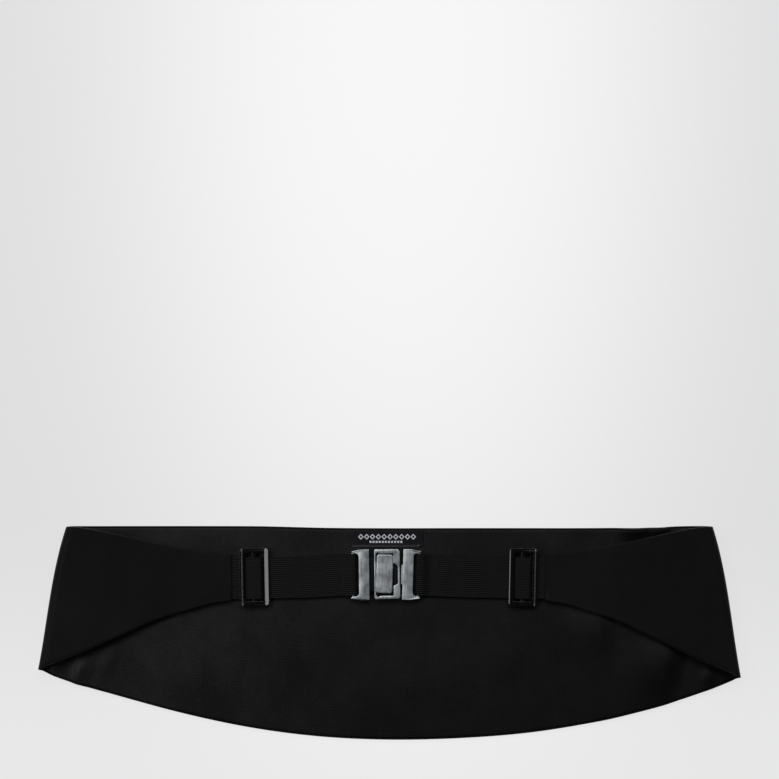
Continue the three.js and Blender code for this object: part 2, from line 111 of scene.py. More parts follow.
def bandsNode(tree, place, direction, pitch, distortion, detail=2.0, detailScale=1.0):
    # sine bands that repeat every pitch, because at scale 1 they repeat every 2 pi / 20 = 0.314
    node = addNode(
        tree,
        "ShaderNodeTexWave",
        settings={"wave_type": "BANDS", "bands_direction": direction},
        values={
            "Scale": 0.314 / pitch,
            "Distortion": distortion,
            "Detail": detail,
            "Detail Scale": detailScale,
        },
        links={"Vector": place},
    )
    return node.outputs["Fac"]


def rangeNode(tree, source, low, high, start=0.0, end=1.0, easing="LINEAR"):
    # low where the source is start and high where it is end
    node = addNode(
        tree,
        "ShaderNodeMapRange",
        settings={"interpolation_type": easing},
        values={"From Min": start, "From Max": end, "To Min": low, "To Max": high},
        links={"Value": source},
    )
    return node.outputs["Result"]


def rampNode(tree, source, *stops):
    # a straight blend between two stops, each a position and a colour, as hex text or linear
    node = addNode(tree, "ShaderNodeValToRGB", links={"Fac": source})
    for element, (position, colour) in zip(node.color_ramp.elements, stops):
        element.position = position
        element.color = colour if isinstance(colour, tuple) else linearColour(colour)
    return node.outputs["Color"]


def bumpNode(tree, height, strength, distance):
    # distance is the relief's depth in metres
    values = {"Strength": strength, "Distance": distance}
    node = addNode(tree, "ShaderNodeBump", values=values, links={"Height": height})
    return node.outputs["Normal"]


def newMaterial(name):
    # an empty node tree, which the caller fills, and its texture coordinates
    material = bpy.data.materials.new(name)
    material.use_nodes = True
    tree = material.node_tree
    tree.nodes.clear()
    return material, tree, addNode(tree, "ShaderNodeTexCoord").outputs


def addSurface(tree, values, links):
    # a Principled shader as the material's surface
    shader = addNode(tree, "ShaderNodeBsdfPrincipled", values=values, links=links)
    addNode(tree, "ShaderNodeOutputMaterial", links={"Surface": shader.outputs["BSDF"]})


# Mesh making


def makeObject(name, points, faces, material, smoothAngle, uv=None, extraMaterials=(), slots=None):
    # faces is a list of whole-number arrays, one row for each face, three or four corners wide;
    # edges that turn by more than smoothAngle degrees stay sharp
    mesh = bpy.data.meshes.new(name)
    sizes = np.concatenate([np.full(len(f), f.shape[1]) for f in faces])
    corners = np.concatenate([f.ravel() for f in faces]).astype(np.int32)
    mesh.vertices.add(len(points))
    metres = np.asarray(points, float) * millimetre
    mesh.vertices.foreach_set("co", metres.astype(np.float32).ravel())
    mesh.loops.add(len(corners))
    mesh.loops.foreach_set("vertex_index", corners)
    mesh.polygons.add(len(sizes))
    starts = np.concatenate([[0], np.cumsum(sizes)[:-1]])
    mesh.polygons.foreach_set("loop_start", starts.astype(np.int32))
    mesh.polygons.foreach_set("loop_total", sizes.astype(np.int32))
    mesh.polygons.foreach_set("use_smooth", np.ones(len(sizes), bool))
    for used in (material, *extraMaterials):
        mesh.materials.append(used)
    if slots is not None:
        mesh.polygons.foreach_set("material_index", slots.astype(np.int32))
    if uv is not None:
        layer = mesh.uv_layers.new(name="cloth")
        layer.data.foreach_set("uv", uv[corners].astype(np.float32).ravel())
    mesh.update(calc_edges=True)
    mesh.validate()
    mesh.set_sharp_from_angle(angle=math.radians(smoothAngle))
    made = bpy.data.objects.new(name, mesh)
    bpy.context.scene.collection.objects.link(made)
    return made


def ringFaces(rings, count, start=0):
    # quads between each closed ring of count points and the next one: i, i + 1 on both rings
    around = np.arange(count)
    ahead = (around + 1) % count
    first = (start + np.arange(rings - 1) * count)[:, None]
    quads = [first + around, first + ahead, first + count + ahead, first + count + around]
    return np.stack(quads, axis=-1).reshape(-1, 4)


def capFaces(loops, firsts, upward):
    # fills flat loops (the first is the outline, the others are holes) with triangles; the sign of
    # each one's area in the plan says which way it faces
    flat = np.concatenate(loops)
    triangles = np.array(tessellate_polygon([[(*p, 0.0) for p in loop.tolist()] for loop in loops]))
    a, b, c = flat[triangles[:, 0]], flat[triangles[:, 1]], flat[triangles[:, 2]]
    area = (b[:, 0] - a[:, 0]) * (c[:, 1] - a[:, 1]) - (b[:, 1] - a[:, 1]) * (c[:, 0] - a[:, 0])
    triangles = triangles[np.abs(area) > 1e-9]
    area = area[np.abs(area) > 1e-9]
    turned = (area > 0) != upward
    triangles[turned] = triangles[turned][:, ::-1]
    index = np.concatenate([first + np.arange(len(loop)) for first, loop in zip(firsts, loops)])
    return index[triangles]


class Parts:
    # several closed shells gathered into one piece
    def __init__(self):
        self.points, self.faces, self.slots, self.count = [], [], [], 0

    def add(self, points, faces, slot=0):
        self.points.append(np.asarray(points, float))
        self.faces += [f + self.count for f in faces]
        self.slots += [np.full(len(f), slot) for f in faces]
        self.count += len(points)

    def moved(self, place, turn):
        # turned by an angle about Z, then shifted in the plan
        points = np.concatenate(self.points)
        c, s = math.cos(turn), math.sin(turn)
        x = points[:, 0] * c - points[:, 1] * s + place[0]
        y = points[:, 0] * s + points[:, 1] * c + place[1]
        return np.stack([x, y, points[:, 2]], axis=1)


def smoothStep(low, high, value):
    # t^2 * (3 - 2t), where t is how far the value has come from low to high, held to 0 and 1
    t = np.clip((value - low) / (high - low), 0, 1)
    return t * t * (3 - 2 * t)


# The cloth: one band from the left wing's end round the left fold, the panel and the right fold
# to the right wing's end

cloth = {
    "panelWidth": 420.6,
    "panelHeight": 128.0,
    "sideFlare": 17.0,
    "topSag": 1.3,
    "rippleHeight": 1.5,
    "foldHeight": 14.0,
    "cornerHeight": 12.0,
    "foldReach": 6.5,
    "foldCrease": 0.75,
    "foldBow": 1.7,
    "bowReach": 45.0,
    "satinThickness": 1.2,
    "liningThickness": 1.0,
    "layerGap": 0.3,
    "hemLip": 0.9,
    "hemRoll": 2.0,
    "hemRollWidth": 2.4,
    "seamGap": 0.12,
    "edgeRound": 0.45,
    "hemRoom": 0.4,
    "tailGap": 1.4,
    "acrossSteps": 84,
    "wingSteps": 70,
    "foldSteps": 30,
    "panelSteps": 290,
}

strap = {
    "width": 25.0,
    "thickness": 1.0,
    "runLeft": 73.0,
    "runRight": 76.0,
    "tail": 6.0,
    "tilt": math.radians(1.2),
    "restGap": 0.3,
    "plyGap": 0.25,
    "metalGap": 0.3,
    "turnRoom": 0.1,
    "sewnGap": 0.02,
    "ribPitch": 1.19,
    "ribDepth": 0.2,
    "dropLeft": 0.85,
    "dropRight": 0.6,
    "dropLength": 30.0,
    "humpRoom": 0.35,
    "humpSlope": 0.9,
    "climbStart": 6.0,
    "climbEnd": 2.5,
    "bend": 1.2,
    "selvedge": 0.5,
    "pathStep": 0.6,
    "acrossSteps": 150,
}

sliderSizes = {
    "width": 17.0,
    "height": 34.4,
    "bar": 2.8,
    "arm": 2.6,
    "centreBar": 2.4,
    "centreBarThickness": 1.2,
    "thickness": 1.6,
    "corner": 2.2,
    "windowCorner": 1.0,
    "offset": 5.0,
    "extraLeft": 0.6,
    "ledgeLeft": 1.45,
    "ledgeRight": 1.4,
    "ledgeFall": 0.42,
    "ledgeEaseLeft": 0.23,
    "ledgeEaseRight": 0.17,
    "bevelRight": 0.9,
    "bevelAngle": 17.0,
    "barPower": 0.3,
    "armPower": 0.1,
    "ledgePower": 0.08,
    "centrePower": 0.25,
    "centreBend": 0.9,
    "cornerSteps": 9,
    "sectionSteps": 48,
    "topSteps": 18,
}

clasp = {
    "x": -2.1,
    "drop": 28.7,
    "height": 30.3,
    "barWidth": 1.8,
    "barThickness": 1.2,
    "keeperLean": math.radians(-0.5),
    "hookLean": math.radians(-0.5),
    "barToPost": 3.3,
    "postWidth": 6.3,
    "plateThickness": 1.4,
    "webThickness": 1.2,
    "slideGap": 0.3,
    "softEdge": 0.34,
    "groove": 2.6,
    "keeperWidth": 15.8,
    "keeperCorner": 2.0,
    "keeperWall": 0.95,
    "relief": 1.1,
    "keeperBand": 2.6,
    "shoulder": 3.9,
    "bridge": 1.3,
    "notchHeight": 13.2,
    "webHeight": 20.0,
    "meetGap": 1.6,
    "neckHeight": 11.7,
    "neckStep": 0.8,
    "tongueWidth": 9.9,
    "tongueHeight": 22.8,
    "tongueSlack": 0.45,
    "tongueCorner": 1.4,
    "armRise": 0.9,
    "keeperTrim": 0.4,
    "keeperTips": (1.6, 1.0),
    "hookTips": (1.1, 1.2),
}

labelSizes = {
    "width": 42.4,
    "height": 9.2,
    "thickness": 0.8,
    "x": -1.1,
    "drop": 2.9,
    "gap": 0.06,
    "edge": 0.22,
    "stitches": 6,
    "stitchPitch": 1.35,
    "stitchLength": 0.95,
    "stitchRadius": 0.13,
}

# share of the half width, then the lower edge, the upper edge's sag and the lift, all as shares
panelRows = np.array(
    [
        (-1.0, 0.67, 0.0, 0.6),
        (-0.92, 0.724, 0.0, 0.7),
        (-0.8, 0.782, 0.0, 0.25),
        (-0.6, 0.871, 0.0, 0.0),
        (-0.4, 0.942, 0.1, 0.0),
        (-0.2, 0.985, 0.8, 0.0),
        (0.0, 1.0, 1.0, 0.0),
        (0.2, 0.993, 0.95, 0.0),
        (0.4, 0.967, 0.95, 0.0),
        (0.6, 0.914, 0.95, 0.1),
        (0.7, 0.875, 0.8, 0.7),
        (0.8, 0.829, 0.6, 0.2),
        (0.92, 0.761, 0.0, 1.0),
        (1.0, 0.707, 0.0, 0.6),
    ]
)

# share of the wing's length, then how far its lower edge, upper edge and height have come
wingRows = np.array(
    [
        (0.0, 0.0, 0.0, 0.0),
        (0.1, 0.105, 0.04, 0.02),
        (0.25, 0.265, 0.2, 0.12),
        (0.45, 0.51, 0.47, 0.42),
        (0.65, 0.745, 0.73, 0.78),
        (0.85, 0.925, 0.92, 0.98),
        (0.92, 0.97, 0.97, 1.0),
        (1.0, 1.0, 1.0, 1.0),
    ]
)

# ridges that the lining keeps beside the folds: middle, direction in degrees, half length, half
# width on the ridge's left and on its right, height
panelRidges = np.array(
    [
        (-199.0, -19.0, 76.0, 5.0, 3.0, 6.0, 1.3),
        (-185.0, -22.0, 76.0, 7.0, 3.0, 8.0, 2.0),
        (-168.0, -18.0, 70.0, 9.0, 6.0, 5.0, 0.7),
        (-112.0, -24.0, 86.0, 22.0, 26.0, 26.0, 1.3),
        (-62.0, -14.0, 95.0, 22.0, 22.0, 26.0, 0.8),
        (0.0, -30.0, 92.0, 24.0, 24.0, 28.0, 0.8),
        (48.0, -22.0, 84.0, 24.0, 22.0, 30.0, 0.7),
        (127.0, 4.0, 99.0, 16.0, 18.0, 8.0, 1.9),
        (167.0, -17.0, 79.0, 19.0, 18.0, 10.0, 3.3),
        (191.0, -26.0, 80.0, 5.0, 4.0, 5.0, 0.9),
        (147.0, 63.8, -2.0, 8.0, 3.0, 9.0, 5.0),
        (162.0, 63.8, -2.0, 5.0, 3.0, 6.0, 3.6),
    ]
)

clothThickness = cloth["satinThickness"] + cloth["layerGap"] + cloth["liningThickness"]
topY = cloth["panelHeight"] / 2
halfWidth = cloth["panelWidth"] / 2
lowerPly = clothThickness + strap["restGap"]
upperPly = lowerPly + strap["thickness"] + strap["plyGap"]
wingEndTop = upperPly + strap["thickness"] + strap["plyGap"] + cloth["satinThickness"]
metalLow = lowerPly + strap["thickness"] + strap["metalGap"]
wrapTop = metalLow + sliderSizes["centreBarThickness"] + strap["metalGap"] + strap["thickness"]
sliderLow = upperPly + strap["thickness"] + strap["metalGap"]
plateLow = metalLow + clasp["webThickness"] + clasp["slideGap"]
claspTop = plateLow + clasp["plateThickness"]
hookReach = clasp["barToPost"] + clasp["postWidth"]
keeperReach = hookReach + clasp["groove"] + clasp["keeperWidth"]
barAlong = (keeperReach + clasp["meetGap"] + hookReach) / 2
claspY = topY - clasp["drop"]
wingEndHeight = strap["width"] + 2 * (cloth["hemLip"] + cloth["hemRoom"])


def smoothColumn(rows, column):
    # a cubic from row to row, each row's slope taken from its two neighbours
    at, value = rows[:, 0], rows[:, column]
    before = np.maximum(np.arange(len(at)) - 1, 0)
    after = np.minimum(np.arange(len(at)) + 1, len(at) - 1)
    slope = (value[after] - value[before]) / (at[after] - at[before])

    def evaluate(where):
        i = np.clip(np.searchsorted(at, where, side="left") - 1, 0, len(at) - 2)
        span = at[i + 1] - at[i]
        t = (where - at[i]) / span
        rise = t * t * (3 - 2 * t)
        leave = t * (1 - t) ** 2 * span * slope[i]
        arrive = t * t * (t - 1) * span * slope[i + 1]
        return value[i] + (value[i + 1] - value[i]) * rise + leave + arrive

    return evaluate


dropAt = smoothColumn(panelRows, 1)
sagAt = smoothColumn(panelRows, 2)
liftAt = smoothColumn(panelRows, 3)
lowerAt = smoothColumn(wingRows, 1)
upperAt = smoothColumn(wingRows, 2)
fallAt = smoothColumn(wingRows, 3)


def onStrap(side, along, aside):
    # the clasp's middle plus along times the outward direction plus aside times the upward one
    tilt = strap["tilt"]
    x = clasp["x"] + side * (math.cos(tilt) * along + math.sin(tilt) * aside)
    y = claspY - math.sin(tilt) * along + math.cos(tilt) * aside
    return np.array([x, y])


def wingEnd(side):
    # lower and upper corner of the wing's end, square to the strap, and the wing's length along X
    along = barAlong + (strap["runLeft"] if side < 0 else strap["runRight"])
    low, high = onStrap(side, along, -wingEndHeight / 2), onStrap(side, along, wingEndHeight / 2)
    length = halfWidth - abs(onStrap(side, along, 0)[0])
    return low, high, length


wingEnds = {side: wingEnd(side) for side in (-1, 1)}


def panelWaves(x, y):
    # sum of ridges height * exp(-(along / length)^2) * exp(-(across / width)^2); on a ridge's
    # right, where the cloth breaks off sharply, the last factor is (1 - across / width)^1.2;
    # room takes them away behind the strap
    total = np.zeros_like(x)
    for middleX, middleY, angle, length, leftWidth, rightWidth, height in panelRidges:
        c, s = math.cos(math.radians(angle)), math.sin(math.radians(angle))
        along = (x - middleX) * c + (y - middleY) * s
        aside = -(x - middleX) * s + (y - middleY) * c
        left = np.exp(-((aside / leftWidth) ** 2))
        right = np.clip(1 + aside / rightWidth, 0, 1) ** 1.2
        total += height * np.where(aside > 0, left, right) * np.exp(-((along / length) ** 2))
    room = 1 - smoothStep(6, 24, y) * (1 - smoothStep(100, 127, np.abs(x)))
    return total * room


def wingWaves(side, at, across):
    # two low sine swells along the wing, times sin^2 of its length, so none at its ends
    shift = np.where(side < 0, 0.4, 1.7)
    swell = 0.55 * np.sin(2.1 * math.pi * at + 1.1 * across * math.pi + shift)
    swell = swell + 0.3 * np.sin(5.2 * math.pi * at - 2.4 * across)
    return swell * np.sin(math.pi * np.clip(at, 0, 1)) ** 2


def clothPoint(roundAt, across):
    # the outer face; roundAt is -3 at the left wing's end, -2 to -1 round the left fold, -1 to 1
    # over the panel, 1 to 2 round the right fold and 3 at the right wing's end; across is 0 at the
    # lower edge and 1 at the upper;
    # x and y lie straight between the two edges; z is height / 2 * (1 + sin^crease) round a fold
    # and falls along the wing, plus ripples and ridges, less the roll of the wing's lower hem
    roundAt, across = np.broadcast_arrays(np.asarray(roundAt, float), np.asarray(across, float))
    side = np.where(roundAt < 0, -1.0, 1.0)
    stage = np.abs(roundAt)
    height = cloth["cornerHeight"] + (cloth["foldHeight"] - cloth["cornerHeight"]) * across
    turn = (np.clip(stage - 1, 0, 1) - 0.5) * math.pi
    crease = cloth["foldCrease"]
    inset = cloth["foldReach"] * (1 - np.abs(np.cos(turn)) ** crease)
    onPanel = turn < 0
    wingLength = np.where(side < 0, wingEnds[-1][2], wingEnds[1][2])
    reach = cloth["foldReach"] / wingLength
    straightShare = 1 - cloth["foldReach"] / halfWidth
    panelAt = np.where(stage <= 1, stage * straightShare, 1 - inset / halfWidth)
    wingAt = np.where(stage >= 2, reach + (1 - reach) * (stage - 2), inset / wingLength)

    share = side * panelAt
    upperHalf = halfWidth - cloth["sideFlare"]
    panelLow = np.stack([share * halfWidth, topY - dropAt(share) * cloth["panelHeight"]], -1)
    panelHigh = np.stack([share * upperHalf, topY - sagAt(share) * cloth["topSag"]], -1)
    foldLow = np.stack([side * halfWidth, topY - dropAt(side) * cloth["panelHeight"]], -1)
    foldHigh = np.stack([side * upperHalf, topY - sagAt(side) * cloth["topSag"]], -1)
    endLow = np.where(side[..., None] < 0, wingEnds[-1][0], wingEnds[1][0])
    endHigh = np.where(side[..., None] < 0, wingEnds[-1][1], wingEnds[1][1])
    lowerShare = np.stack([wingAt, lowerAt(wingAt)], -1)
    upperShare = np.stack([wingAt, upperAt(wingAt)], -1)
    wingLow = foldLow + (endLow - foldLow) * lowerShare
    wingHigh = foldHigh + (endHigh - foldHigh) * upperShare
    low = np.where(onPanel[..., None], panelLow, wingLow)
    high = np.where(onPanel[..., None], panelHigh, wingHigh)
    plan = low + (high - low) * across[..., None]

    fromFold = np.where(onPanel, (1 - panelAt) * halfWidth, wingAt * wingLength)
    bowLeft = np.maximum(0, 1 - fromFold / cloth["bowReach"]) ** 2
    bowShape = 6.75 * across * across * (1 - across)  # 6.75 makes its highest point 1
    x = plan[..., 0] + side * cloth["foldBow"] * bowLeft * bowShape
    y = plan[..., 1]
    z = height / 2 * (1 + np.sign(turn) * np.abs(np.sin(turn)) ** crease)
    lift = np.maximum(0, np.where(onPanel, liftAt(share), liftAt(side)))
    z = z + lift * cloth["rippleHeight"] * (1 - z / height)
    fallen = height + (wingEndTop - height) * fallAt(np.clip(stage - 2, 0, 1))
    fallen = fallen + wingWaves(side, stage - 2, across)
    z = np.where(stage > 2, fallen, z)
    waves = panelWaves(x, y) * (1 - smoothStep(1.0, 1.45, stage))
    z = z + np.maximum(waves, -lift * cloth["rippleHeight"] * (1 - z / height))
    fromEdge = across * np.linalg.norm(high - low, axis=-1)
    roll = np.maximum(0, 1 - fromEdge / cloth["hemRollWidth"]) ** 2 * cloth["hemRoll"]
    z = z - roll * smoothStep(1.6, 2.1, stage) * (1 - smoothStep(2.5, 2.8, stage))
    return np.stack([x, y, z], -1)


def clothInside(roundAt, across, depth):
    # the outer face moved inwards by depth along the cross product of its two directions
    step = 1e-3
    along = clothPoint(roundAt + step, across) - clothPoint(roundAt - step, across)
    over = clothPoint(roundAt, across + step) - clothPoint(roundAt, across - step)
    inward = np.cross(along, over)
    inward /= np.linalg.norm(inward, axis=-1, keepdims=True)
    return clothPoint(roundAt, across) + inward * np.asarray(depth)[..., None]


def clothStations(start, end):
    # even steps along each wing, fold and the panel, cut off at start and end
    def run(first, last, steps):
        return first + (last - first) * np.arange(steps) / steps

    wing, fold, panel = cloth["wingSteps"], cloth["foldSteps"], cloth["panelSteps"]
    left, right = [run(-3, -2, wing), run(-2, -1, fold)], [run(1, 2, fold), run(2, 3, wing)]
    stations = np.concatenate([*left, run(-1, 1, panel), *right])
    margin = 0.3 / wing
    inner = stations[(stations > start + margin) & (stations < end - margin)]
    return np.concatenate([[start], inner, [end]])


def cornerArc(base, share, depth, firstAngle):
    # a quarter circle of the cloth's edge, as distance = base + share * length, and depth
    radius = cloth["edgeRound"]
    angles = np.radians(firstAngle + np.linspace(0, 90, 5))
    distance = base + radius * np.cos(angles)
    return np.stack([distance, np.full(5, float(share)), depth + radius * np.sin(angles)], 1)


def satinSection():
    # outer face from the lower edge to the upper, round the turned edge, back over the inner face
    r, lip, thick = cloth["edgeRound"], cloth["hemLip"], clothThickness
    share = np.linspace(0, 1, cloth["acrossSteps"])[1:-1]
    outer = np.stack([r * (1 - 2 * share), share, np.zeros_like(share)], 1)
    back = np.linspace(1, 0, 12)
    inner = np.stack([lip * (1 - 2 * back), back, np.full_like(back, cloth["satinThickness"])], 1)
    return np.concatenate(
        [
            cornerArc(r, 0, r, 180),
            outer,
            cornerArc(-r, 1, r, 270),
            cornerArc(-r, 1, thick - r, 0),
            [(-lip, 1, thick - 0.1)],
            inner,
            [(lip, 0, thick - 0.1)],
            cornerArc(r, 0, thick - r, 90),
        ]
    )


def liningSection():
    # hidden outer face, rolled edge, the face that shows, rolled edge
    r = cloth["edgeRound"]
    edge = cloth["hemLip"] + cloth["seamGap"]
    outerDepth = cloth["satinThickness"] + cloth["layerGap"]
    share = np.linspace(0, 1, 12)
    hidden = np.stack([edge * (1 - 2 * share), share, np.full_like(share, outerDepth)], 1)
    back = np.linspace(1, 0, cloth["acrossSteps"])[1:-1]
    shown = np.stack([(edge + r) * (1 - 2 * back), back, np.full_like(back, clothThickness)], 1)
    return np.concatenate(
        [
            hidden,
            cornerArc(-edge - r, 1, clothThickness - r, 0),
            shown,
            cornerArc(edge + r, 0, clothThickness - r, 90),
        ]
    )


def clothBand(name, start, end, section, material):
    # every point is clothInside(station, distance / length, depth); the first two and the last two
    # rings are drawn towards the middle of the wall, which rounds the ends off
    stations = clothStations(start, end)
    endRound = cloth["edgeRound"]
    lengths = clothPoint(stations, 1.0) - clothPoint(stations, 0.0)
    lengths = np.linalg.norm(lengths, axis=-1)[:, None]
    across = section[:, 0] / lengths + section[:, 1]
    depth = np.broadcast_to(section[:, 2], across.shape).copy()
    outerDepth = section[:, 2].min()
    innerDepth = min(section[:, 2].max(), outerDepth + cloth["satinThickness"])
    middle = (outerDepth + innerDepth) / 2
    for ring, share in ((0, 0.5), (1, 0.93), (-2, 0.93), (-1, 0.5)):
        near = np.abs(depth[ring] - middle) < 1.0
        depth[ring] = np.where(near, middle + (depth[ring] - middle) * share, depth[ring])
    wingLength = wingEnds[1][2]
    stations[1] = start + endRound * 0.35 / wingLength
    stations[-2] = end - endRound * 0.35 / wingLength
    points = clothInside(stations[:, None], across, depth)
    middles = clothPoint(stations, 0.5)
    travelled = np.concatenate([[0], np.cumsum(np.linalg.norm(np.diff(middles, axis=0), axis=1))])
    uv = np.stack([np.broadcast_to(travelled[:, None], across.shape), across * lengths], -1)
    rings, count = across.shape
    flatStart = np.stack([across[0] * lengths[0], depth[0]], 1)
    flatEnd = np.stack([across[-1] * lengths[-1], depth[-1]], 1)
    faces = [
        ringFaces(rings, count),
        capFaces([flatStart], [0], False),
        capFaces([flatEnd], [(rings - 1) * count], True),
    ]
    made = makeObject(
        name, points.reshape(-1, 3), faces, material, smoothAngle=60.0, uv=uv.reshape(-1, 2)
    )
    area = np.sum((lengths[1:, 0] + lengths[:-1, 0]) / 2 * np.diff(travelled))
    return made, float(travelled[-1]), float(area)


# Materials


def satinMaterial():
    # polyester satin: a warp-faced weave, so long fine threads along the band and a soft shine
    look = {
        "dark": "#161616",
        "light": "#1d1d1d",
        "roughness": 0.46,
        "threadPitch": 0.9,  # the real 0.1 mm is too fine to show
        "threadBump": 0.05,
    }
    material, tree, place = newMaterial("blackPolyesterSatin")
    alongThreads = mappingNode(tree, place["UV"], (0.02, 1.0, 1.0))
    threads = noiseNode(tree, alongThreads, 1.0 / look["threadPitch"], roughness=0.6)
    clouds = noiseNode(tree, place["Object"], 14.0, detail=6.0, roughness=0.7)
    blend = sumNode(tree, threads, 0.35, clouds)
    smooth, dull = look["roughness"] - 0.05, look["roughness"] + 0.05
    addSurface(
        tree,
        values={"Specular IOR Level": 0.04},
        links={
            "Base Color": rampNode(tree, blend, (0.45, look["dark"]), (0.85, look["light"])),
            "Roughness": rangeNode(tree, clouds, smooth, dull, start=0.3, end=0.7),
            "Normal": bumpNode(tree, threads, look["threadBump"], 0.0003),
        },
    )
    return material


def liningMaterial():
    # viscose lining: a plain weave with a soft, cloudy shine, its colour scaled by painted light:
    # lighter towards the left end and along the strip below the top hem
    look = {
        "dark": "#0b0b0b",
        "light": "#232323",
        "farEndPaintedShade": 0.3,  # the right end's share of the brightness
        "topHemPaintedLight": 1.35,  # the same for the strip below the top hem
        "roughness": 0.5,
        "threadPitch": 1.5,  # the real 0.15 mm is too fine to show
        "threadBump": 0.1,
    }
    material, tree, place = newMaterial("blackViscoseLining")
    warp, weft = (
        bandsNode(tree, place["UV"], direction, look["threadPitch"], 7.0, detailScale=1.1)
        for direction in "XY"
    )
    weave = mathNode(tree, "MULTIPLY", warp, weft)
    clouds = noiseNode(tree, place["Object"], 24.0, detail=6.0, roughness=0.72)
    mixed = sumNode(tree, weave, 0.3, clouds)
    colour = rampNode(tree, mixed, (0.45, look["dark"]), (0.85, look["light"]))
    # painted light: half a wave over the panel's width, which goes from 1 at its left end to 0 at
    # its right end
    ends = addNode(
        tree,
        "ShaderNodeTexWave",
        settings={"wave_type": "BANDS", "bands_direction": "X"},
        values={
            "Scale": 0.374,
            "Distortion": 1.2,
            "Detail": 2.0,
            "Detail Scale": 14.0,
            "Phase Offset": 4.71,
        },
        links={"Vector": place["Object"]},
    )
    share = rangeNode(tree, ends.outputs["Fac"], look["farEndPaintedShade"], 1.0)
    fromMiddle = addNode(tree, "ShaderNodeSeparateXYZ", links={0: place["Object"]}).outputs["Y"]
    upward = rangeNode(tree, fromMiddle, 1.0, look["topHemPaintedLight"], start=-0.01, end=0.06)
    # painted light and shade: the colour times the left-to-right fall and the lighter strip below
    # the top hem
    paintedLightColour = addNode(
        tree,
        "ShaderNodeVectorMath",
        settings={"operation": "SCALE"},
        links={0: colour, "Scale": mathNode(tree, "MULTIPLY", share, upward)},
    )
    addSurface(
        tree,
        values={"Roughness": look["roughness"], "Specular IOR Level": 0.2},
        links={
            "Base Color": paintedLightColour.outputs["Vector"],
            "Normal": bumpNode(tree, weave, look["threadBump"], 0.0003),
        },
    )
    return material


def elasticMaterial():
    # woven elastic: dull covered rubber cords with a fine weft over them
    look = {
        "dark": "#0c0c0c",
        "light": "#161616",
        "roughness": 0.62,
        "weftPitch": 0.8,
        "weftBump": 0.2,
    }
    material, tree, place = newMaterial("wovenElastic")
    weft = bandsNode(tree, place["UV"], "X", look["weftPitch"], 2.0)
    fuzz = noiseNode(tree, place["Object"], 900.0)
    mixed = sumNode(tree, weft, 0.4, fuzz)
    addSurface(
        tree,
        values={"Roughness": look["roughness"], "Specular IOR Level": 0.12},
        links={
            "Base Color": rampNode(tree, mixed, (0.4, look["dark"]), (0.95, look["light"])),
            "Normal": bumpNode(tree, mixed, look["weftBump"], 0.0002),
        },
    )
    return material


def enamelMaterial():
    # stoved black enamel on steel: deep gloss with a slight orange peel
    look = {"colour": "#020203", "wearAndFoldHighlight": "#070708", "roughness": 0.16, "peel": 0.04}
    material, tree, place = newMaterial("blackStovedEnamel")
    peel = noiseNode(tree, place["Object"], 350.0)
    smooth, dull = look["roughness"] - 0.03, look["roughness"] + 0.05
    addSurface(
        tree,
        values={"Specular IOR Level": 0.85},
        links={
            "Base Color": rampNode(tree, peel, (0.45, look["colour"]), (0.8, look["wearAndFoldHighlight"])),
            "Roughness": rangeNode(tree, peel, smooth, dull),
            "Normal": bumpNode(tree, peel, look["peel"], 0.0002),
        },
    )
    return material


def gunmetalMaterial():
    # satin gunmetal plating over a zinc casting: brushed up and down, a little darker in patches
    look = {"dark": "#acb2b6", "light": "#eaeff3", "roughness": 0.42, "brushing": 0.12}
    material, tree, place = newMaterial("satinGunmetalPlating")
    alongBrush = mappingNode(tree, place["Object"], (1.0, 0.06, 1.0))
    brushed = noiseNode(tree, alongBrush, 1400.0, detail=3.0, roughness=0.6)
    patches = noiseNode(tree, place["Object"], 160.0, detail=3.0)
    mixed = sumNode(tree, brushed, 0.5, patches)
    smooth, dull = look["roughness"] - 0.06, look["roughness"] + 0.08
    addSurface(
        tree,
        values={"Metallic": 1.0},
        links={
            "Base Color": rampNode(tree, mixed, (0.58, look["dark"]), (0.88, look["light"])),
            "Roughness": rangeNode(tree, brushed, smooth, dull),
            "Normal": bumpNode(tree, mixed, look["brushing"], 0.0001),
        },
    )
    return material


def rowMask(tree, u, v, row):
    # 1 on the row's figures: for a lozenge |(|u| / wide + |v| / high) - rim| < stroke, which leaves
    # its middle open; for a dash the larger of the two stands for their sum
    period, wide, high = row["period"], row["wide"], row["high"]
    shifted = mathNode(tree, "SUBTRACT", u, row["start"])
    phase = mathNode(tree, "FRACT", mathNode(tree, "DIVIDE", shifted, period), 0.0)
    cell = mathNode(tree, "SUBTRACT", phase, 0.5)
    fromMiddle = mathNode(tree, "ABSOLUTE", mathNode(tree, "MULTIPLY", cell, period), 0.0)
    fromRow = mathNode(tree, "ABSOLUTE", mathNode(tree, "SUBTRACT", v, row["middle"]), 0.0)
    sideways = mathNode(tree, "DIVIDE", fromMiddle, wide)
    upright = mathNode(tree, "DIVIDE", fromRow, high)
    joined = "ADD" if row["lozenge"] else "MAXIMUM"
    shape = mathNode(tree, joined, sideways, upright)
    fromRim = mathNode(tree, "ABSOLUTE", mathNode(tree, "SUBTRACT", shape, row["rim"]), 0.0)
    figure = mathNode(tree, "LESS_THAN", fromRim, row["stroke"])
    fromStart = mathNode(tree, "GREATER_THAN", u, row["start"])
    toEnd = mathNode(tree, "LESS_THAN", u, row["end"])
    return mathNode(tree, "MULTIPLY", figure, mathNode(tree, "MULTIPLY", fromStart, toEnd))


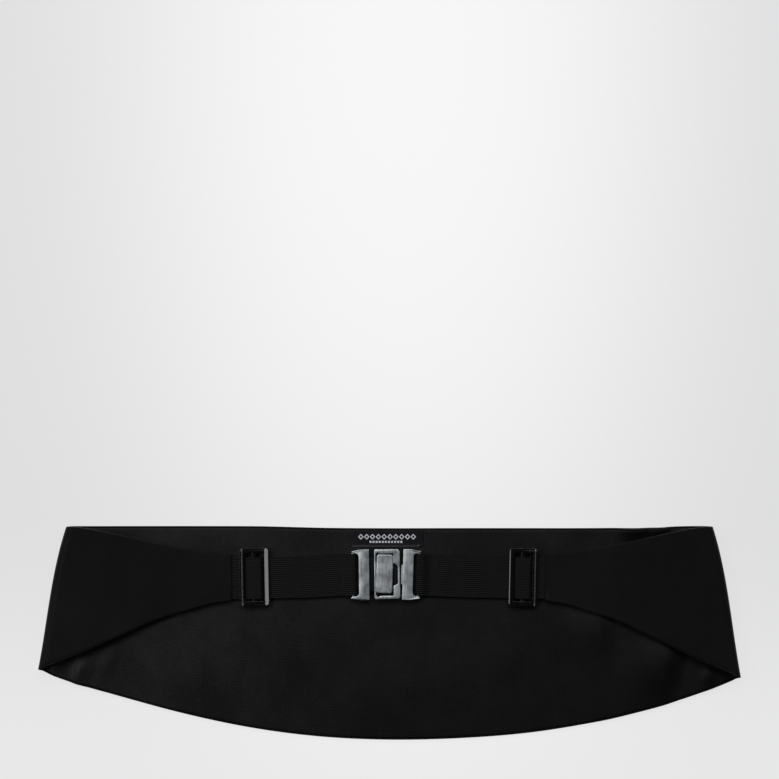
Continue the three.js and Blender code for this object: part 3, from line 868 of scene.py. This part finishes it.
def labelMaterial():
    # damask ribbon: a blue-black ground with plain figures in a pale weft that shines a little, and
    # a pale line along the bottom fold that is a painted highlight
    look = {
        "ground": "#0b0b10",
        "figure": "#e6e9f0",
        "upperRow": {
            "lozenge": True,
            "start": -17.8,
            "end": 17.1,
            "period": 3.49,
            "middle": 1.15,
            "wide": 1.7,
            "high": 1.8,
            "rim": 0.75,
            "stroke": 0.24,
        },
        "lowerRow": {
            "lozenge": False,
            "start": -11.2,
            "end": 9.1,
            "period": 1.845,
            "middle": -1.9,
            "wide": 0.62,
            "high": 0.6,
            "rim": 0.0,
            "stroke": 1.0,
        },
        "foldTop": -4.2,
        "foldEnd": 18.1,
        "foldHighlight": 0.14,  # how much of the figures' paleness is painted along the fold as its highlight
        "weftPitch": 0.55,
    }
    material, tree, place = newMaterial("damaskRibbon")
    split = addNode(tree, "ShaderNodeSeparateXYZ", links={0: place["UV"]})
    u, v = split.outputs["X"], split.outputs["Y"]
    upper = rowMask(tree, u, v, look["upperRow"])
    lower = rowMask(tree, u, v, look["lowerRow"])
    # painted highlight: a pale line along the bottom fold, up to foldEnd
    belowFold = mathNode(tree, "LESS_THAN", v, look["foldTop"])
    beforeEnd = mathNode(tree, "LESS_THAN", u, look["foldEnd"])
    foldLine = mathNode(tree, "MULTIPLY", belowFold, beforeEnd)
    wearAndFoldHighlight = mathNode(tree, "MULTIPLY", foldLine, look["foldHighlight"])
    figures = mathNode(tree, "MAXIMUM", mathNode(tree, "MAXIMUM", upper, lower), wearAndFoldHighlight)
    weft = bandsNode(tree, place["UV"], "Y", look["weftPitch"], 1.0, detail=1.0)
    paleness = mathNode(tree, "MULTIPLY", figures, rangeNode(tree, weft, 0.75, 1.0))
    colour = addNode(
        tree,
        "ShaderNodeMix",
        settings={"data_type": "RGBA"},
        values={6: linearColour(look["ground"]), 7: linearColour(look["figure"])},
        links={0: paleness},
    )
    height = sumNode(tree, figures, 0.6, mathNode(tree, "MULTIPLY", weft, 0.4))
    addSurface(
        tree,
        values={"Roughness": 0.6, "Specular IOR Level": 0.2},
        links={
            "Base Color": colour.outputs[2],
            "Normal": bumpNode(tree, height, 0.3, 0.0002),
        },
    )
    return material


def plainMaterial(name, colour, roughness, specular):
    # one dull colour with a fine grain of 0.75 to 1.2 times its brightness
    material, tree, place = newMaterial(name)
    base = linearColour(colour)
    darker, lighter = ((*(share * c for c in base[:3]), 1.0) for share in (0.75, 1.2))
    grain = noiseNode(tree, place["Object"], 700.0)
    addSurface(
        tree,
        values={"Roughness": roughness, "Specular IOR Level": specular},
        links={"Base Color": rampNode(tree, grain, (0.3, darker), (0.7, lighter))},
    )
    return material


satin = satinMaterial()
liningCloth = liningMaterial()
elastic = elasticMaterial()
enamel = enamelMaterial()
gunmetal = gunmetalMaterial()
# painted shade: a near-black colour for the web, wall, neck and riser that sit in the clasp's gaps,
# where shade falls
recessShade = plainMaterial("paintedShadeRecess", "#060607", 0.5, 0.2)
labelCloth = labelMaterial()
thread = plainMaterial("blackSewingThread", "#141416", 0.5, 0.3)
paleThread = plainMaterial("paleTackThread", "#a9acb2", 0.6, 0.3)
print("materials made")


# Cloth pieces

# the lining ends short of the strap's sewn tail, here as a share of each wing's length
tailShare = {
    side: (strap["tail"] + cloth["tailGap"]) / (wingEnds[side][2] - cloth["foldReach"])
    for side in (-1, 1)
}
outerSatin, satinLength, satinArea = clothBand("satin_cloth", -3.0, 3.0, satinSection(), satin)
lining, liningLength, liningArea = clothBand(
    "lining_cloth", -3.0 + tailShare[-1], 3.0 - tailShare[1], liningSection(), liningCloth
)
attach(outerSatin, "root")
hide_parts("outer_satin")
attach(lining, "root")
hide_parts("lining")
print("cloth made:", round(satinLength), "mm from end to end,", round(satinArea / 100), "square cm")


# Elastic straps


def roundedPath(corners, bend, steps=8):
    # straight runs joined by quadratic curves that start bend before each corner
    corners = np.asarray(corners, float)
    path = [corners[0]]
    t = np.linspace(0, 1, steps + 1)[:, None]
    for before, corner, after in zip(corners[:-2], corners[1:-1], corners[2:]):
        back, ahead = before - corner, after - corner
        reach = min(bend, np.linalg.norm(back) / 2, np.linalg.norm(ahead) / 2)
        enter = corner + back / np.linalg.norm(back) * reach
        leave = corner + ahead / np.linalg.norm(ahead) * reach
        path.append((1 - t) ** 2 * enter + 2 * t * (1 - t) * corner + t**2 * leave)
    path.append(corners[-1])
    points = np.concatenate([np.atleast_2d(p) for p in path])
    keep = np.concatenate([[True], np.linalg.norm(np.diff(points, axis=0), axis=1) > 1e-4])
    return points[keep]


def resample(points, spacing):
    # points at even distances along the same line
    at = np.concatenate([[0], np.cumsum(np.linalg.norm(np.diff(points, axis=0), axis=1))])
    wanted = np.linspace(0, at[-1], max(2, int(round(at[-1] / spacing)) + 1))
    even = [np.interp(wanted, at, points[:, i]) for i in range(points.shape[1])]
    return np.stack(even, 1), wanted


def strapSection():
    # thickness / 2 plus the rib wave ribDepth * (cos(2 pi w / pitch) - 1) / 2 over the width w,
    # drawn in to a round selvedge at both edges
    half, thick = strap["width"] / 2, strap["thickness"] / 2
    width = np.linspace(-half, half, strap["acrossSteps"])
    selvedge = strap["selvedge"]
    intoEdge = np.maximum(np.abs(width) - (half - selvedge), 0) / selvedge
    edge = np.sqrt(np.clip(1 - intoEdge**2, 0, 1))
    ribs = strap["ribDepth"] * (np.cos(2 * math.pi * width / strap["ribPitch"]) - 1) / 2
    height = np.maximum((thick + ribs) * edge, 0.02)
    upper = np.stack([width, height], 1)
    lower = np.stack([width[::-1], -height[::-1]], 1)
    return np.concatenate([lower, upper])


def makeStrap(name, side):
    # the section carried along a line in the strap's own side view: out of the wing, below the
    # slider's frame and over its centre bar, round the clasp's bar, back as the lower ply and
    # round the slider's centre bar
    run = strap["runLeft"] if side < 0 else strap["runRight"]
    middle = strap["thickness"] / 2
    centre = -run + sliderSizes["offset"] + sliderSizes["width"] / 2
    humpStart = sliderSizes["width"] / 2 - sliderSizes["bar"] - strap["humpRoom"]
    rise = wrapTop + strap["plyGap"] - upperPly
    low = upperPly + middle
    high = low + rise
    room = sliderSizes["centreBar"] / 2 + strap["metalGap"]
    humpTop = humpStart - strap["humpSlope"]
    barTop = metalLow + clasp["barThickness"] + strap["metalGap"] + middle
    lean = strap["width"] / 2 * math.sin(abs(clasp["hookLean"]))
    turnX = clasp["barWidth"] / 2 + lean + strap["turnRoom"] + middle
    ply = lowerPly + middle
    line = [
        (-run - strap["tail"], low),
        (centre - humpStart, low),
        (centre - humpTop, high),
        (centre + humpTop, high),
        (centre + humpStart, low),
        (-strap["climbStart"], low),
        (-strap["climbEnd"], barTop),
        (turnX, barTop),
        (turnX, ply),
        (centre - room - middle, ply),
        (centre - room - middle, wrapTop - middle),
        (centre + room + middle, wrapTop - middle),
        (centre + room + middle, ply + strap["thickness"] + strap["sewnGap"]),
    ]
    path, travelled = resample(roundedPath(line, strap["bend"]), strap["pathStep"])
    along = np.gradient(path, axis=0)
    along /= np.linalg.norm(along, axis=1, keepdims=True)
    normal = np.stack([-along[:, 1], along[:, 0]], 1)
    section = strapSection()
    x = path[:, 0, None] + normal[:, 0, None] * section[:, 1]
    z = path[:, 1, None] + normal[:, 1, None] * section[:, 1]
    drop = strap["dropLeft"] if side < 0 else strap["dropRight"]
    below = drop * smoothStep(0, strap["dropLength"], -path[:, 0, None])
    y = section[:, 0] + (-below if side < 0 else below)
    points = np.stack([x, y, z], -1)
    rings, count = x.shape
    uv = np.stack(np.broadcast_arrays(travelled[:, None], section[:, 0]), -1).reshape(-1, 2)
    parts = Parts()
    quads = ringFaces(rings, count)[:, ::-1]
    firstCap = capFaces([section], [0], True)[:, ::-1]
    lastCap = capFaces([section], [(rings - 1) * count], True)
    parts.add(points.reshape(-1, 3), [quads, firstCap, lastCap])
    place = onStrap(side, barAlong, 0)
    turn = strap["tilt"] if side < 0 else math.pi - strap["tilt"]
    made = makeObject(
        name, parts.moved(place, turn), parts.faces, elastic, smoothAngle=50.0, uv=uv
    )
    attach(made, "root")
    return made, float(travelled[-1])


for name, side, node in (
    ("elastic_strap_left", -1, "strap_left"),
    ("elastic_strap_right", 1, "strap_right"),
):
    made, length = makeStrap(name, side)
    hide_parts(node)
print("straps made")


# Metal


def roundCorners(corners, steps=5):
    # a closed outline whose corner (x, y, r) is an arc of radius r
    corners = np.asarray(corners, float)
    points = []
    for i in range(len(corners)):
        x, y, radius = corners[i]
        corner = np.array([x, y])
        back = corners[i - 1, :2] - corner
        ahead = corners[(i + 1) % len(corners), :2] - corner
        back, ahead = back / np.linalg.norm(back), ahead / np.linalg.norm(ahead)
        half = math.acos(np.clip(back @ ahead, -1, 1)) / 2
        if radius <= 0 or half > 1.55:
            points.append(corner[None])
            continue
        centre = corner + (back + ahead) / np.linalg.norm(back + ahead) * radius / math.sin(half)
        first = corner + back * radius / math.tan(half) - centre
        last = corner + ahead * radius / math.tan(half) - centre
        sweep = math.atan2(first[0] * last[1] - first[1] * last[0], first @ last)
        angles = math.atan2(first[1], first[0]) + sweep * np.linspace(0, 1, steps)
        points.append(centre + radius * np.stack([np.cos(angles), np.sin(angles)], 1))
    return np.concatenate(points)


def inwards(loop, distance):
    # every point moved to the left of its way round, by distance from both neighbouring sides
    ahead = np.roll(loop, -1, axis=0) - loop
    ahead /= np.linalg.norm(ahead, axis=1, keepdims=True)
    left = np.stack([-ahead[:, 1], ahead[:, 0]], 1)
    both = left + np.roll(left, 1, axis=0)
    both /= np.maximum(np.sum(both * both, axis=1, keepdims=True) / 2, 0.35)
    return loop + both * distance


def orient(loop, anticlockwise):
    # the loop turned round where the sign of its area, from the shoelace sum, is the wrong one
    area = np.sum(loop[:, 0] * np.roll(loop[:, 1], -1) - np.roll(loop[:, 0], -1) * loop[:, 1])
    return loop if (area > 0) == anticlockwise else loop[::-1]


def addPlate(parts, outline, holes, low, high, edge, slot=0, topAt=None, steps=5):
    # the outline and its holes carried up from low to high; both edges follow
    # inset = edge * (1 - cos a), height = edge * sin a for a from 0 to 90 degrees;
    # where topAt is given, heights above low are scaled so that the upper face follows it
    loops = [orient(outline, True)] + [orient(hole, False) for hole in holes]
    angles = np.radians(np.linspace(0, 90, steps))
    insets = np.concatenate([edge * (1 - np.cos(angles[::-1])), edge * (1 - np.cos(angles))])
    fromEnd = edge * (1 - np.sin(angles))
    levels = np.concatenate([low + fromEnd[::-1], high - fromEnd])
    points, faces, firsts, tops = [], [], [], []
    start = 0
    for loop in loops:
        rings = [
            np.column_stack([inwards(loop, inset), np.full(len(loop), level)])
            for inset, level in zip(insets, levels)
        ]
        stacked = np.concatenate(rings)
        points.append(stacked)
        faces.append(ringFaces(len(rings), len(loop), start))
        firsts.append(start)
        tops.append(start + (len(rings) - 1) * len(loop))
        start += len(stacked)
    points = np.concatenate(points)
    flat = [inwards(loop, edge) for loop in loops]
    faces.append(capFaces(flat, firsts, False))
    faces.append(capFaces(flat, tops, True))
    if topAt is not None:
        height = (topAt(points[:, 0], points[:, 1]) - low) / (high - low)
        points[:, 2] = low + (points[:, 2] - low) * height
    parts.add(points, faces, slot)


def addTube(parts, path, halfWide, halfHigh, power=0.7, around=20):
    # a bar along a line in Y and Z, capped flat; its section is the superellipse (cos^power,
    # sin^power)
    path = np.asarray(path, float)
    along = np.gradient(path, axis=0)
    along /= np.linalg.norm(along, axis=1, keepdims=True)
    angle = np.linspace(0, 2 * math.pi, around, endpoint=False)
    wide = halfWide * np.sign(np.cos(angle)) * np.abs(np.cos(angle)) ** power
    high = halfHigh * np.sign(np.sin(angle)) * np.abs(np.sin(angle)) ** power
    x = np.broadcast_to(wide, (len(path), around))
    y = path[:, 0, None] - along[:, 1, None] * high
    z = path[:, 1, None] + along[:, 0, None] * high
    points = np.stack([x, y, z], -1).reshape(-1, 3)
    section = np.stack([wide, high], 1)
    last = (len(path) - 1) * around
    quads = ringFaces(len(path), around)[:, ::-1]
    parts.add(points, [quads, capFaces([section], [0], True), capFaces([section], [last], False)])


def rectangle(x0, y0, x1, y1, radius, steps=5):
    # from its lower left to its upper right corner, with round corners
    corners = [(x0, y0, radius), (x1, y0, radius), (x1, y1, radius), (x0, y1, radius)]
    return roundCorners(corners, steps)


def makeSlider(name, side, node):
    # a flat frame with a domed section: from its outer outline to the window the point at angle a
    # is middle + half * sign(cos a) * |cos a|^p, level + thickness / 2 * sign(sin a) * |sin a|^p,
    # where p is barPower on the bar next to the clasp, ledgePower on the other and armPower on the
    # arms; the bar next to the clasp falls towards the window on the left frame and has a worn
    # outer edge on the right one, the other bar has a ledge along it, and a lower bar holds the
    # strap's end
    sizes = sliderSizes
    run = strap["runLeft"] if side < 0 else strap["runRight"]
    extra = sizes["extraLeft"] if side < 0 else 0.0
    halfHigh, halfWide = sizes["height"] / 2, (sizes["width"] + extra) / 2
    thick = sizes["thickness"]
    steps = sizes["cornerSteps"]
    outline = rectangle(-halfWide, -halfHigh, halfWide, halfHigh, sizes["corner"], steps)
    windowWide, windowHigh = halfWide - sizes["bar"], halfHigh - sizes["arm"]
    windowCorner = sizes["windowCorner"]
    window = rectangle(-windowWide, -windowHigh, windowWide, windowHigh, windowCorner, steps)
    # even angles leave the flat top of a crisp bar without points, so some are added at
    # acos(w^10), which a power of 0.1 brings back to w
    even = np.linspace(0, 2 * math.pi, sizes["sectionSteps"], endpoint=False)
    onTop = np.linspace(-0.75, 0.75, sizes["topSteps"])
    topAngles = np.arccos(np.sign(onTop) * np.abs(onTop) ** 10)
    angle = np.sort(np.concatenate([even, topAngles]))[:, None]
    onArm = smoothStep(windowHigh, halfHigh - 0.4, np.abs(outline[:, 1]))
    crisp = sizes["barPower"] - (sizes["barPower"] - sizes["armPower"]) * onArm
    crisp = np.where(outline[:, 0] < -windowWide, sizes["ledgePower"], crisp)
    over = np.sign(np.cos(angle)) * np.abs(np.cos(angle)) ** crisp
    rise = np.sign(np.sin(angle)) * np.abs(np.sin(angle)) ** crisp
    x = (outline[:, 0] + window[:, 0]) / 2 + over * (outline[:, 0] - window[:, 0]) / 2
    y = (outline[:, 1] + window[:, 1]) / 2 + over * (outline[:, 1] - window[:, 1]) / 2
    z = sliderLow + thick / 2 + rise * thick / 2
    tangent = math.tan(math.radians(sizes["bevelAngle"]))
    if side < 0:
        fall = np.where(x > windowWide - 0.1, halfWide - x, 0) * tangent
        ledge, ease = -halfWide + sizes["ledgeLeft"], sizes["ledgeEaseLeft"]
        fall = fall + sizes["ledgeFall"] * smoothStep(ledge + ease, ledge - ease, x)
    else:
        fall = np.maximum(0, x - (halfWide - sizes["bevelRight"])) * tangent
        ledge, ease = -halfWide + sizes["ledgeRight"], sizes["ledgeEaseRight"]
        step = smoothStep(ledge - ease, ledge + ease, x)
        fall = fall + np.where(x < -windowWide + 0.05, sizes["ledgeFall"] * step, 0)
    z = z - fall * np.clip((z - sliderLow) / thick, 0, 1)
    points = np.stack([x, y, z], -1).transpose(1, 0, 2).reshape(-1, 3)
    count = len(angle)
    rings = len(outline)
    around = np.arange(count)
    here = (np.arange(rings) * count)[:, None]
    there = ((np.arange(rings) + 1) % rings * count)[:, None]
    ahead = (around + 1) % count
    quads = [here + around, there + around, there + ahead, here + ahead]
    quads = np.stack(quads, -1).reshape(-1, 4)
    parts = Parts()
    parts.add(points, [quads])
    reach = halfHigh - sizes["arm"] / 2
    barZ = metalLow + sizes["centreBarThickness"] / 2
    topZ = sliderLow + thick / 2
    line = [(-reach, topZ), (-reach, barZ), (reach, barZ), (reach, topZ)]
    path, _ = resample(roundedPath(line, sizes["centreBend"]), 0.4)
    barWide, barHigh = sizes["centreBar"] / 2, sizes["centreBarThickness"] / 2
    addTube(parts, path, barWide, barHigh, sizes["centrePower"], around=40)
    centre = barAlong + run - sizes["offset"] - halfWide
    turn = strap["tilt"] if side < 0 else math.pi - strap["tilt"]
    points = parts.moved(onStrap(side, centre, 0), turn)
    made = makeObject(name, points, parts.faces, enamel, smoothAngle=50.0)
    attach(made, "root")
    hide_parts(node)


def addPostAndBar(parts, tips, top):
    # post, two arms that narrow and slope down to the strap bar, and the bar itself; tips holds how
    # far the lower and the upper arm pass the bar, top the height of the post's upper end
    half = clasp["height"] / 2
    lean = strap["width"] / 2 * math.sin(abs(clasp["hookLean"]))
    inside = strap["width"] / 2 + strap["metalGap"] + lean / 2
    post = clasp["barToPost"]

    def arm(tip, end):
        # x, y and radius of each corner from the post's outer side to its inner one
        return [
            (hookReach, end, 0.4),
            (post + 1.2, end, 4.0),
            (-tip, inside + 1.35, 0.18),
            (-tip, inside + 0.85, 0.18),
            (0.1, inside, 2.0),
            (post, inside, 2.2),
        ]

    lower = [(x, -y, r) for x, y, r in arm(tips[0], half)[::-1]]
    outline = roundCorners(arm(tips[1], top) + lower, 7)

    def topAt(x, y):
        barTop = metalLow + clasp["barThickness"] + clasp["armRise"]
        return barTop + (claspTop - barTop) * smoothStep(-1.5, post + 1.5, x)

    addPlate(parts, outline, [], metalLow, claspTop, clasp["softEdge"], topAt=topAt)
    reach = inside + 0.8
    barZ = metalLow + clasp["barThickness"] / 2
    path = np.stack([np.linspace(-reach, reach, 9), np.full(9, barZ)], 1)
    addTube(parts, path, clasp["barWidth"] / 2, clasp["barThickness"] / 2)


def makeKeeper():
    # the keeper half: post and bar, a frame whose window takes the tongue, and a web under it
    # coloured near black as painted shade
    parts = Parts()
    half = clasp["height"] / 2
    addPostAndBar(parts, clasp["keeperTips"], half)
    left = hookReach + clasp["groove"] + clasp["keeperTrim"]
    right = left + clasp["keeperWidth"] - clasp["keeperTrim"]
    shoulder = right - clasp["shoulder"]
    opening = half - clasp["keeperBand"] + 0.1
    notch = clasp["notchHeight"] / 2
    bridge = right - clasp["bridge"]
    corner = clasp["keeperCorner"]
    frameLine = roundCorners(
        [
            (left, -half + 0.5, 0.8),
            (right, -half + 0.7, 1.3),
            (right, half, corner),
            (left, half, 0.9),
        ],
        8,
    )
    near = left + clasp["keeperWall"]
    relief = clasp["relief"]
    # x, y and radius of the window's corners, anticlockwise from the lower left
    window = roundCorners(
        [
            (near, -opening + 0.2, 0.2),
            (near + 0.5, -opening + 0.2, 0.2),
            (near + 0.6, -opening - 0.5, 0.4),
            (near + 0.6 + relief, -opening - 0.6, 0.4),
            (near + 1.2 + relief, -opening, 0.4),
            (shoulder, -opening, 0.4),
            (shoulder, -notch, 0.3),
            (bridge, -notch + 1.0, 0.6),
            (bridge, notch - 1.6, 1.6),
            (shoulder + 0.6, notch, 0.4),
            (shoulder, notch, 0.3),
            (shoulder, opening, 0.6),
            (near + 1.2 + relief, opening, 0.4),
            (near + 0.6 + relief, opening + 0.5, 0.4),
            (near + 0.5, opening + 0.5, 0.4),
            (near + 0.4, opening - 0.3, 0.3),
            (near, opening - 0.6, 0.3),
        ]
    )
    addPlate(parts, frameLine, [window], plateLow, claspTop, clasp["softEdge"])
    webHalf = clasp["webHeight"] / 2
    webTop = metalLow + clasp["webThickness"]
    web = rectangle(hookReach - 1, -webHalf, near, webHalf, 0.3)
    # painted shade: the web and the wall below the frame take slot 1, coloured near black
    addPlate(parts, web, [], metalLow, webTop, 0.15, slot=1)
    wall = rectangle(left + 0.15, -webHalf, near - 0.05, webHalf, 0.2)
    addPlate(parts, wall, [], metalLow, claspTop - 0.4, 0.1, slot=1)
    turn = strap["tilt"] + clasp["keeperLean"]
    points = parts.moved(onStrap(-1, barAlong, 0), turn)
    slots = np.concatenate(parts.slots)
    made = makeObject(
        "keeper_half",
        points,
        parts.faces,
        gunmetal,
        smoothAngle=40.0,
        extraMaterials=(recessShade,),
        slots=slots,
    )
    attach(made, "root")
    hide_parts("clasp_keeper")


def makeHook():
    # the hook half: post and bar, the tongue, and the neck that joins them under the frame;
    # the half turn puts what is lower here on the upper side
    parts = Parts()
    addPostAndBar(parts, clasp["hookTips"], clasp["height"] / 2)
    near = hookReach + clasp["meetGap"] + clasp["shoulder"] + clasp["tongueSlack"]
    tall = clasp["tongueHeight"] / 2
    tongue = rectangle(near, -tall - 0.3, near + clasp["tongueWidth"], tall, clasp["tongueCorner"])
    addPlate(parts, tongue, [], plateLow, claspTop + 0.1, 0.5, steps=7)
    neck = clasp["neckHeight"] / 2
    webTop = metalLow + clasp["webThickness"]
    step = rectangle(hookReach - 1, -neck, hookReach + clasp["neckStep"], neck, 0.3)
    addPlate(parts, step, [], metalLow, claspTop - 0.25, 0.2)
    # painted shade: the neck under the frame and the riser take slot 1, coloured near black
    under = rectangle(hookReach - 1, -neck, near + 1.3, neck, 0.3)
    addPlate(parts, under, [], metalLow, webTop, 0.15, slot=1)
    riser = rectangle(near + 0.15, -neck, near + 1.3, neck, 0.3)
    addPlate(parts, riser, [], metalLow, claspTop - 0.4, 0.1, slot=1)
    turn = math.pi - strap["tilt"] + clasp["hookLean"]
    points = parts.moved(onStrap(1, barAlong, 0), turn)
    slots = np.concatenate(parts.slots)
    made = makeObject(
        "hook_half",
        points,
        parts.faces,
        gunmetal,
        smoothAngle=40.0,
        extraMaterials=(recessShade,),
        slots=slots,
    )
    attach(made, "root")
    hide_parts("clasp_hook")


makeSlider("enamel_slider_left", -1, "slider_left")
makeSlider("enamel_slider_right", 1, "slider_right")
makeKeeper()
makeHook()
print("metal made")


# Label


def addStitch(parts, start, end, level, radius, slot):
    # a short capsule from start to end: for a lean from -90 to 90 degrees the point is length / 2 *
    # (1 + sin lean) along it and its circle's radius is radius * cos(lean)^0.6
    start, end = np.asarray(start, float), np.asarray(end, float)
    along = (end - start) / np.linalg.norm(end - start)
    aside = np.array([-along[1], along[0]])
    length = np.linalg.norm(end - start)
    lean = np.radians(np.linspace(-90, 90, 9))
    at = length / 2 + (length / 2) * np.sin(lean)
    wide = radius * np.cos(lean) ** 0.6
    angle = np.linspace(0, 2 * math.pi, 8, endpoint=False)
    plan = start + at[:, None, None] * along + (wide[:, None] * np.cos(angle))[..., None] * aside
    high = level + radius * 0.3 + wide[:, None] * np.sin(angle)
    points = np.concatenate([plan, high[..., None]], -1)[1:-1].reshape(-1, 3)
    ends = [(*start, level + radius * 0.3), (*end, level + radius * 0.3)]
    rings = len(at) - 2
    around = np.arange(8)
    ahead = (around + 1) % 8
    last = (rings - 1) * 8
    first = np.stack([np.full(8, rings * 8), ahead, around], 1)
    final = np.stack([np.full(8, rings * 8 + 1), last + around, last + ahead], 1)
    quads = ringFaces(rings, 8)
    parts.add(np.concatenate([points, ends]), [quads, first, final], slot)


def makeLabel():
    # a folded ribbon: flat, with a rolled edge exp(-d^2) along the bottom fold and a slight sine
    # ripple; sewn down along the ends
    sizes = labelSizes
    parts = Parts()
    halfWide, halfHigh = sizes["width"] / 2, sizes["height"] / 2
    low = clothThickness + sizes["gap"]
    along = np.linspace(-halfWide, halfWide, 90)
    corner = np.radians(np.linspace(0, 90, 5))
    edge = sizes["edge"]
    across = np.concatenate(
        [
            -halfHigh + edge * (1 - np.sin(corner)),
            np.linspace(-halfHigh + edge, halfHigh - edge, 24)[1:-1],
            halfHigh - edge * (1 - np.sin(corner[::-1])),
        ]
    )
    cornerRise = edge * (1 - np.cos(corner))
    rise = np.concatenate([cornerRise, np.full(22, edge), cornerRise[::-1]])
    hem = 0.22 * np.exp(-(((across + halfHigh - 0.55) / 0.45) ** 2))
    ripple = 0.05 * np.sin(along / 2.4)[:, None] * np.sin(across / 1.9)
    ends = 1 - smoothStep(halfWide - 0.5, halfWide, np.abs(along))[:, None] * 0.45
    upper = low + sizes["thickness"] / 2 + (rise + hem) * ends + ripple * ends * (rise / edge)
    lower = low + sizes["thickness"] / 2 - rise * 1.2
    width = np.concatenate([across[::-1], across[1:-1]])
    lowerHigh = np.broadcast_to(lower[::-1], (len(along), len(across)))
    height = np.concatenate([lowerHigh, upper[:, 1:-1]], 1)
    x = np.broadcast_to(along[:, None], height.shape)
    y = np.broadcast_to(width, height.shape)
    points = np.stack([x, y, height], -1)
    rings, count = height.shape
    flatStart = np.stack([width, height[0]], 1)
    flatEnd = np.stack([width, height[-1]], 1)
    caps = [capFaces([flatStart], [0], False), capFaces([flatEnd], [(rings - 1) * count], True)]
    faces = [face[:, ::-1] for face in (ringFaces(rings, count), *caps)]
    parts.add(points.reshape(-1, 3), faces)
    top = low + sizes["thickness"]
    for side in (-1, 1):
        for step in range(sizes["stitches"]):
            y = -halfHigh + 0.9 + step * sizes["stitchPitch"]
            x = side * (halfWide - 0.7)
            finish = (x, y + sizes["stitchLength"])
            addStitch(parts, (x, y), finish, top - 0.35, sizes["stitchRadius"], 1)
    addStitch(parts, (18.2, -halfHigh + 0.35), (18.9, -halfHigh + 0.5), top - 0.1, 0.22, 2)
    place = (sizes["x"], topY - sizes["drop"] - halfHigh)
    turned = parts.moved(place, 0.0)
    uv = np.concatenate(parts.points)[:, :2]
    slots = np.concatenate(parts.slots)
    made = makeObject(
        "woven_label",
        turned,
        parts.faces,
        labelCloth,
        smoothAngle=50.0,
        uv=uv,
        extraMaterials=(thread, paleThread),
        slots=slots,
    )
    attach(made, "root")
    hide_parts("label")


makeLabel()
print("label made")


# Floor, light and camera

stage = {
    "floorSize": 16.0,
    "cameraHeight": 2.5,
    "frameWidth": 0.4674,
    "cameraY": 0.1459,
    "glowCentre": (0.01, 0.344),
    "glowReach": (0.3, 0.62),
    "glowStrength": 0.87,
    "glowRim": 0.68,
    "glowNear": 0.075,
    "ambient": 0.035,
}

# where each soft box hangs, its width and height in metres and its brightness
softBoxes = {
    "leftBox": ((-0.99, 0.53, 1.42), 1.8, 0.75, 2.8),
    "farBox": ((0.1, 1.4, 1.7), 1.4, 0.9, 3.4),
    "rightBox": ((1.2, 0.6, 1.7), 0.8, 0.8, 0.8),
}


def makeFloor():
    # a pale table lit from below: glow = rim + (middle - rim) * smooth fall-off from the bright
    # spot, plus a little more towards the near side
    mesh = bpy.data.meshes.new("floor")
    half = stage["floorSize"] / 2
    low = -0.0002
    corners = [(-half, -half, low), (half, -half, low), (half, half, low), (-half, half, low)]
    mesh.from_pydata(corners, [], [(0, 1, 2, 3)])
    floor = bpy.data.objects.new("floor", mesh)
    bpy.context.scene.collection.objects.link(floor)
    material, tree, place = newMaterial("paleLightTable")
    wide, deep = stage["glowReach"]
    x, y = stage["glowCentre"]
    centred = mappingNode(
        tree, place["Object"], (1 / wide, 1 / deep, 0.0), shift=(-x / wide, -y / deep, 0.0)
    )
    away = addNode(
        tree, "ShaderNodeVectorMath", settings={"operation": "LENGTH"}, links={0: centred}
    ).outputs["Value"]
    spot, rim = stage["glowStrength"], stage["glowRim"]
    fallOff = rangeNode(tree, away, spot, rim, easing="SMOOTHERSTEP")
    far = addNode(tree, "ShaderNodeSeparateXYZ", links={0: place["Object"]}).outputs["Y"]
    near = rangeNode(
        tree, far, 0.0, stage["glowNear"], start=0.08, end=-0.08, easing="SMOOTHSTEP"
    )
    glow = mathNode(tree, "ADD", fallOff, near)
    light = addNode(tree, "ShaderNodeEmission", links={"Strength": glow})
    matte = addNode(tree, "ShaderNodeBsdfDiffuse", values={"Color": (0.1, 0.1, 0.1, 1.0)})
    both = addNode(tree, "ShaderNodeAddShader", links={0: light.outputs[0], 1: matte.outputs[0]})
    addNode(tree, "ShaderNodeOutputMaterial", links={"Surface": both.outputs[0]})
    mesh.materials.append(material)


def makeLights():
    # each box's power is brightness * pi * width * height, so brightness is what its face shows
    world = bpy.data.worlds.new("dimRoom")
    bpy.context.scene.world = world
    world.use_nodes = True
    world.node_tree.nodes["Background"].inputs["Color"].default_value = (1.0, 1.0, 1.0, 1.0)
    world.node_tree.nodes["Background"].inputs["Strength"].default_value = stage["ambient"]
    for name, (place, width, height, brightness) in softBoxes.items():
        data = bpy.data.lights.new(name, "AREA")
        data.shape = "RECTANGLE"
        data.size, data.size_y = width, height
        data.energy = brightness * math.pi * width * height
        box = bpy.data.objects.new(name, data)
        box.location = place
        box.rotation_euler = Vector(place).to_track_quat("Z", "Y").to_euler()
        box.visible_camera = False
        bpy.context.scene.collection.objects.link(box)


def makeCamera():
    # straight down; the lens is sensor * height / the width of table that the picture shows
    data = bpy.data.cameras.new("camera")
    data.sensor_width = 36.0
    data.lens = 36.0 * stage["cameraHeight"] / stage["frameWidth"]
    data.clip_start, data.clip_end = 0.05, 20.0
    camera = bpy.data.objects.new("camera", data)
    camera.location = (0.0, stage["cameraY"], stage["cameraHeight"])
    bpy.context.scene.collection.objects.link(camera)
    bpy.context.scene.camera = camera


makeFloor()
makeLights()
makeCamera()
bpy.context.scene.view_settings.view_transform = "Standard"
print("stage made")
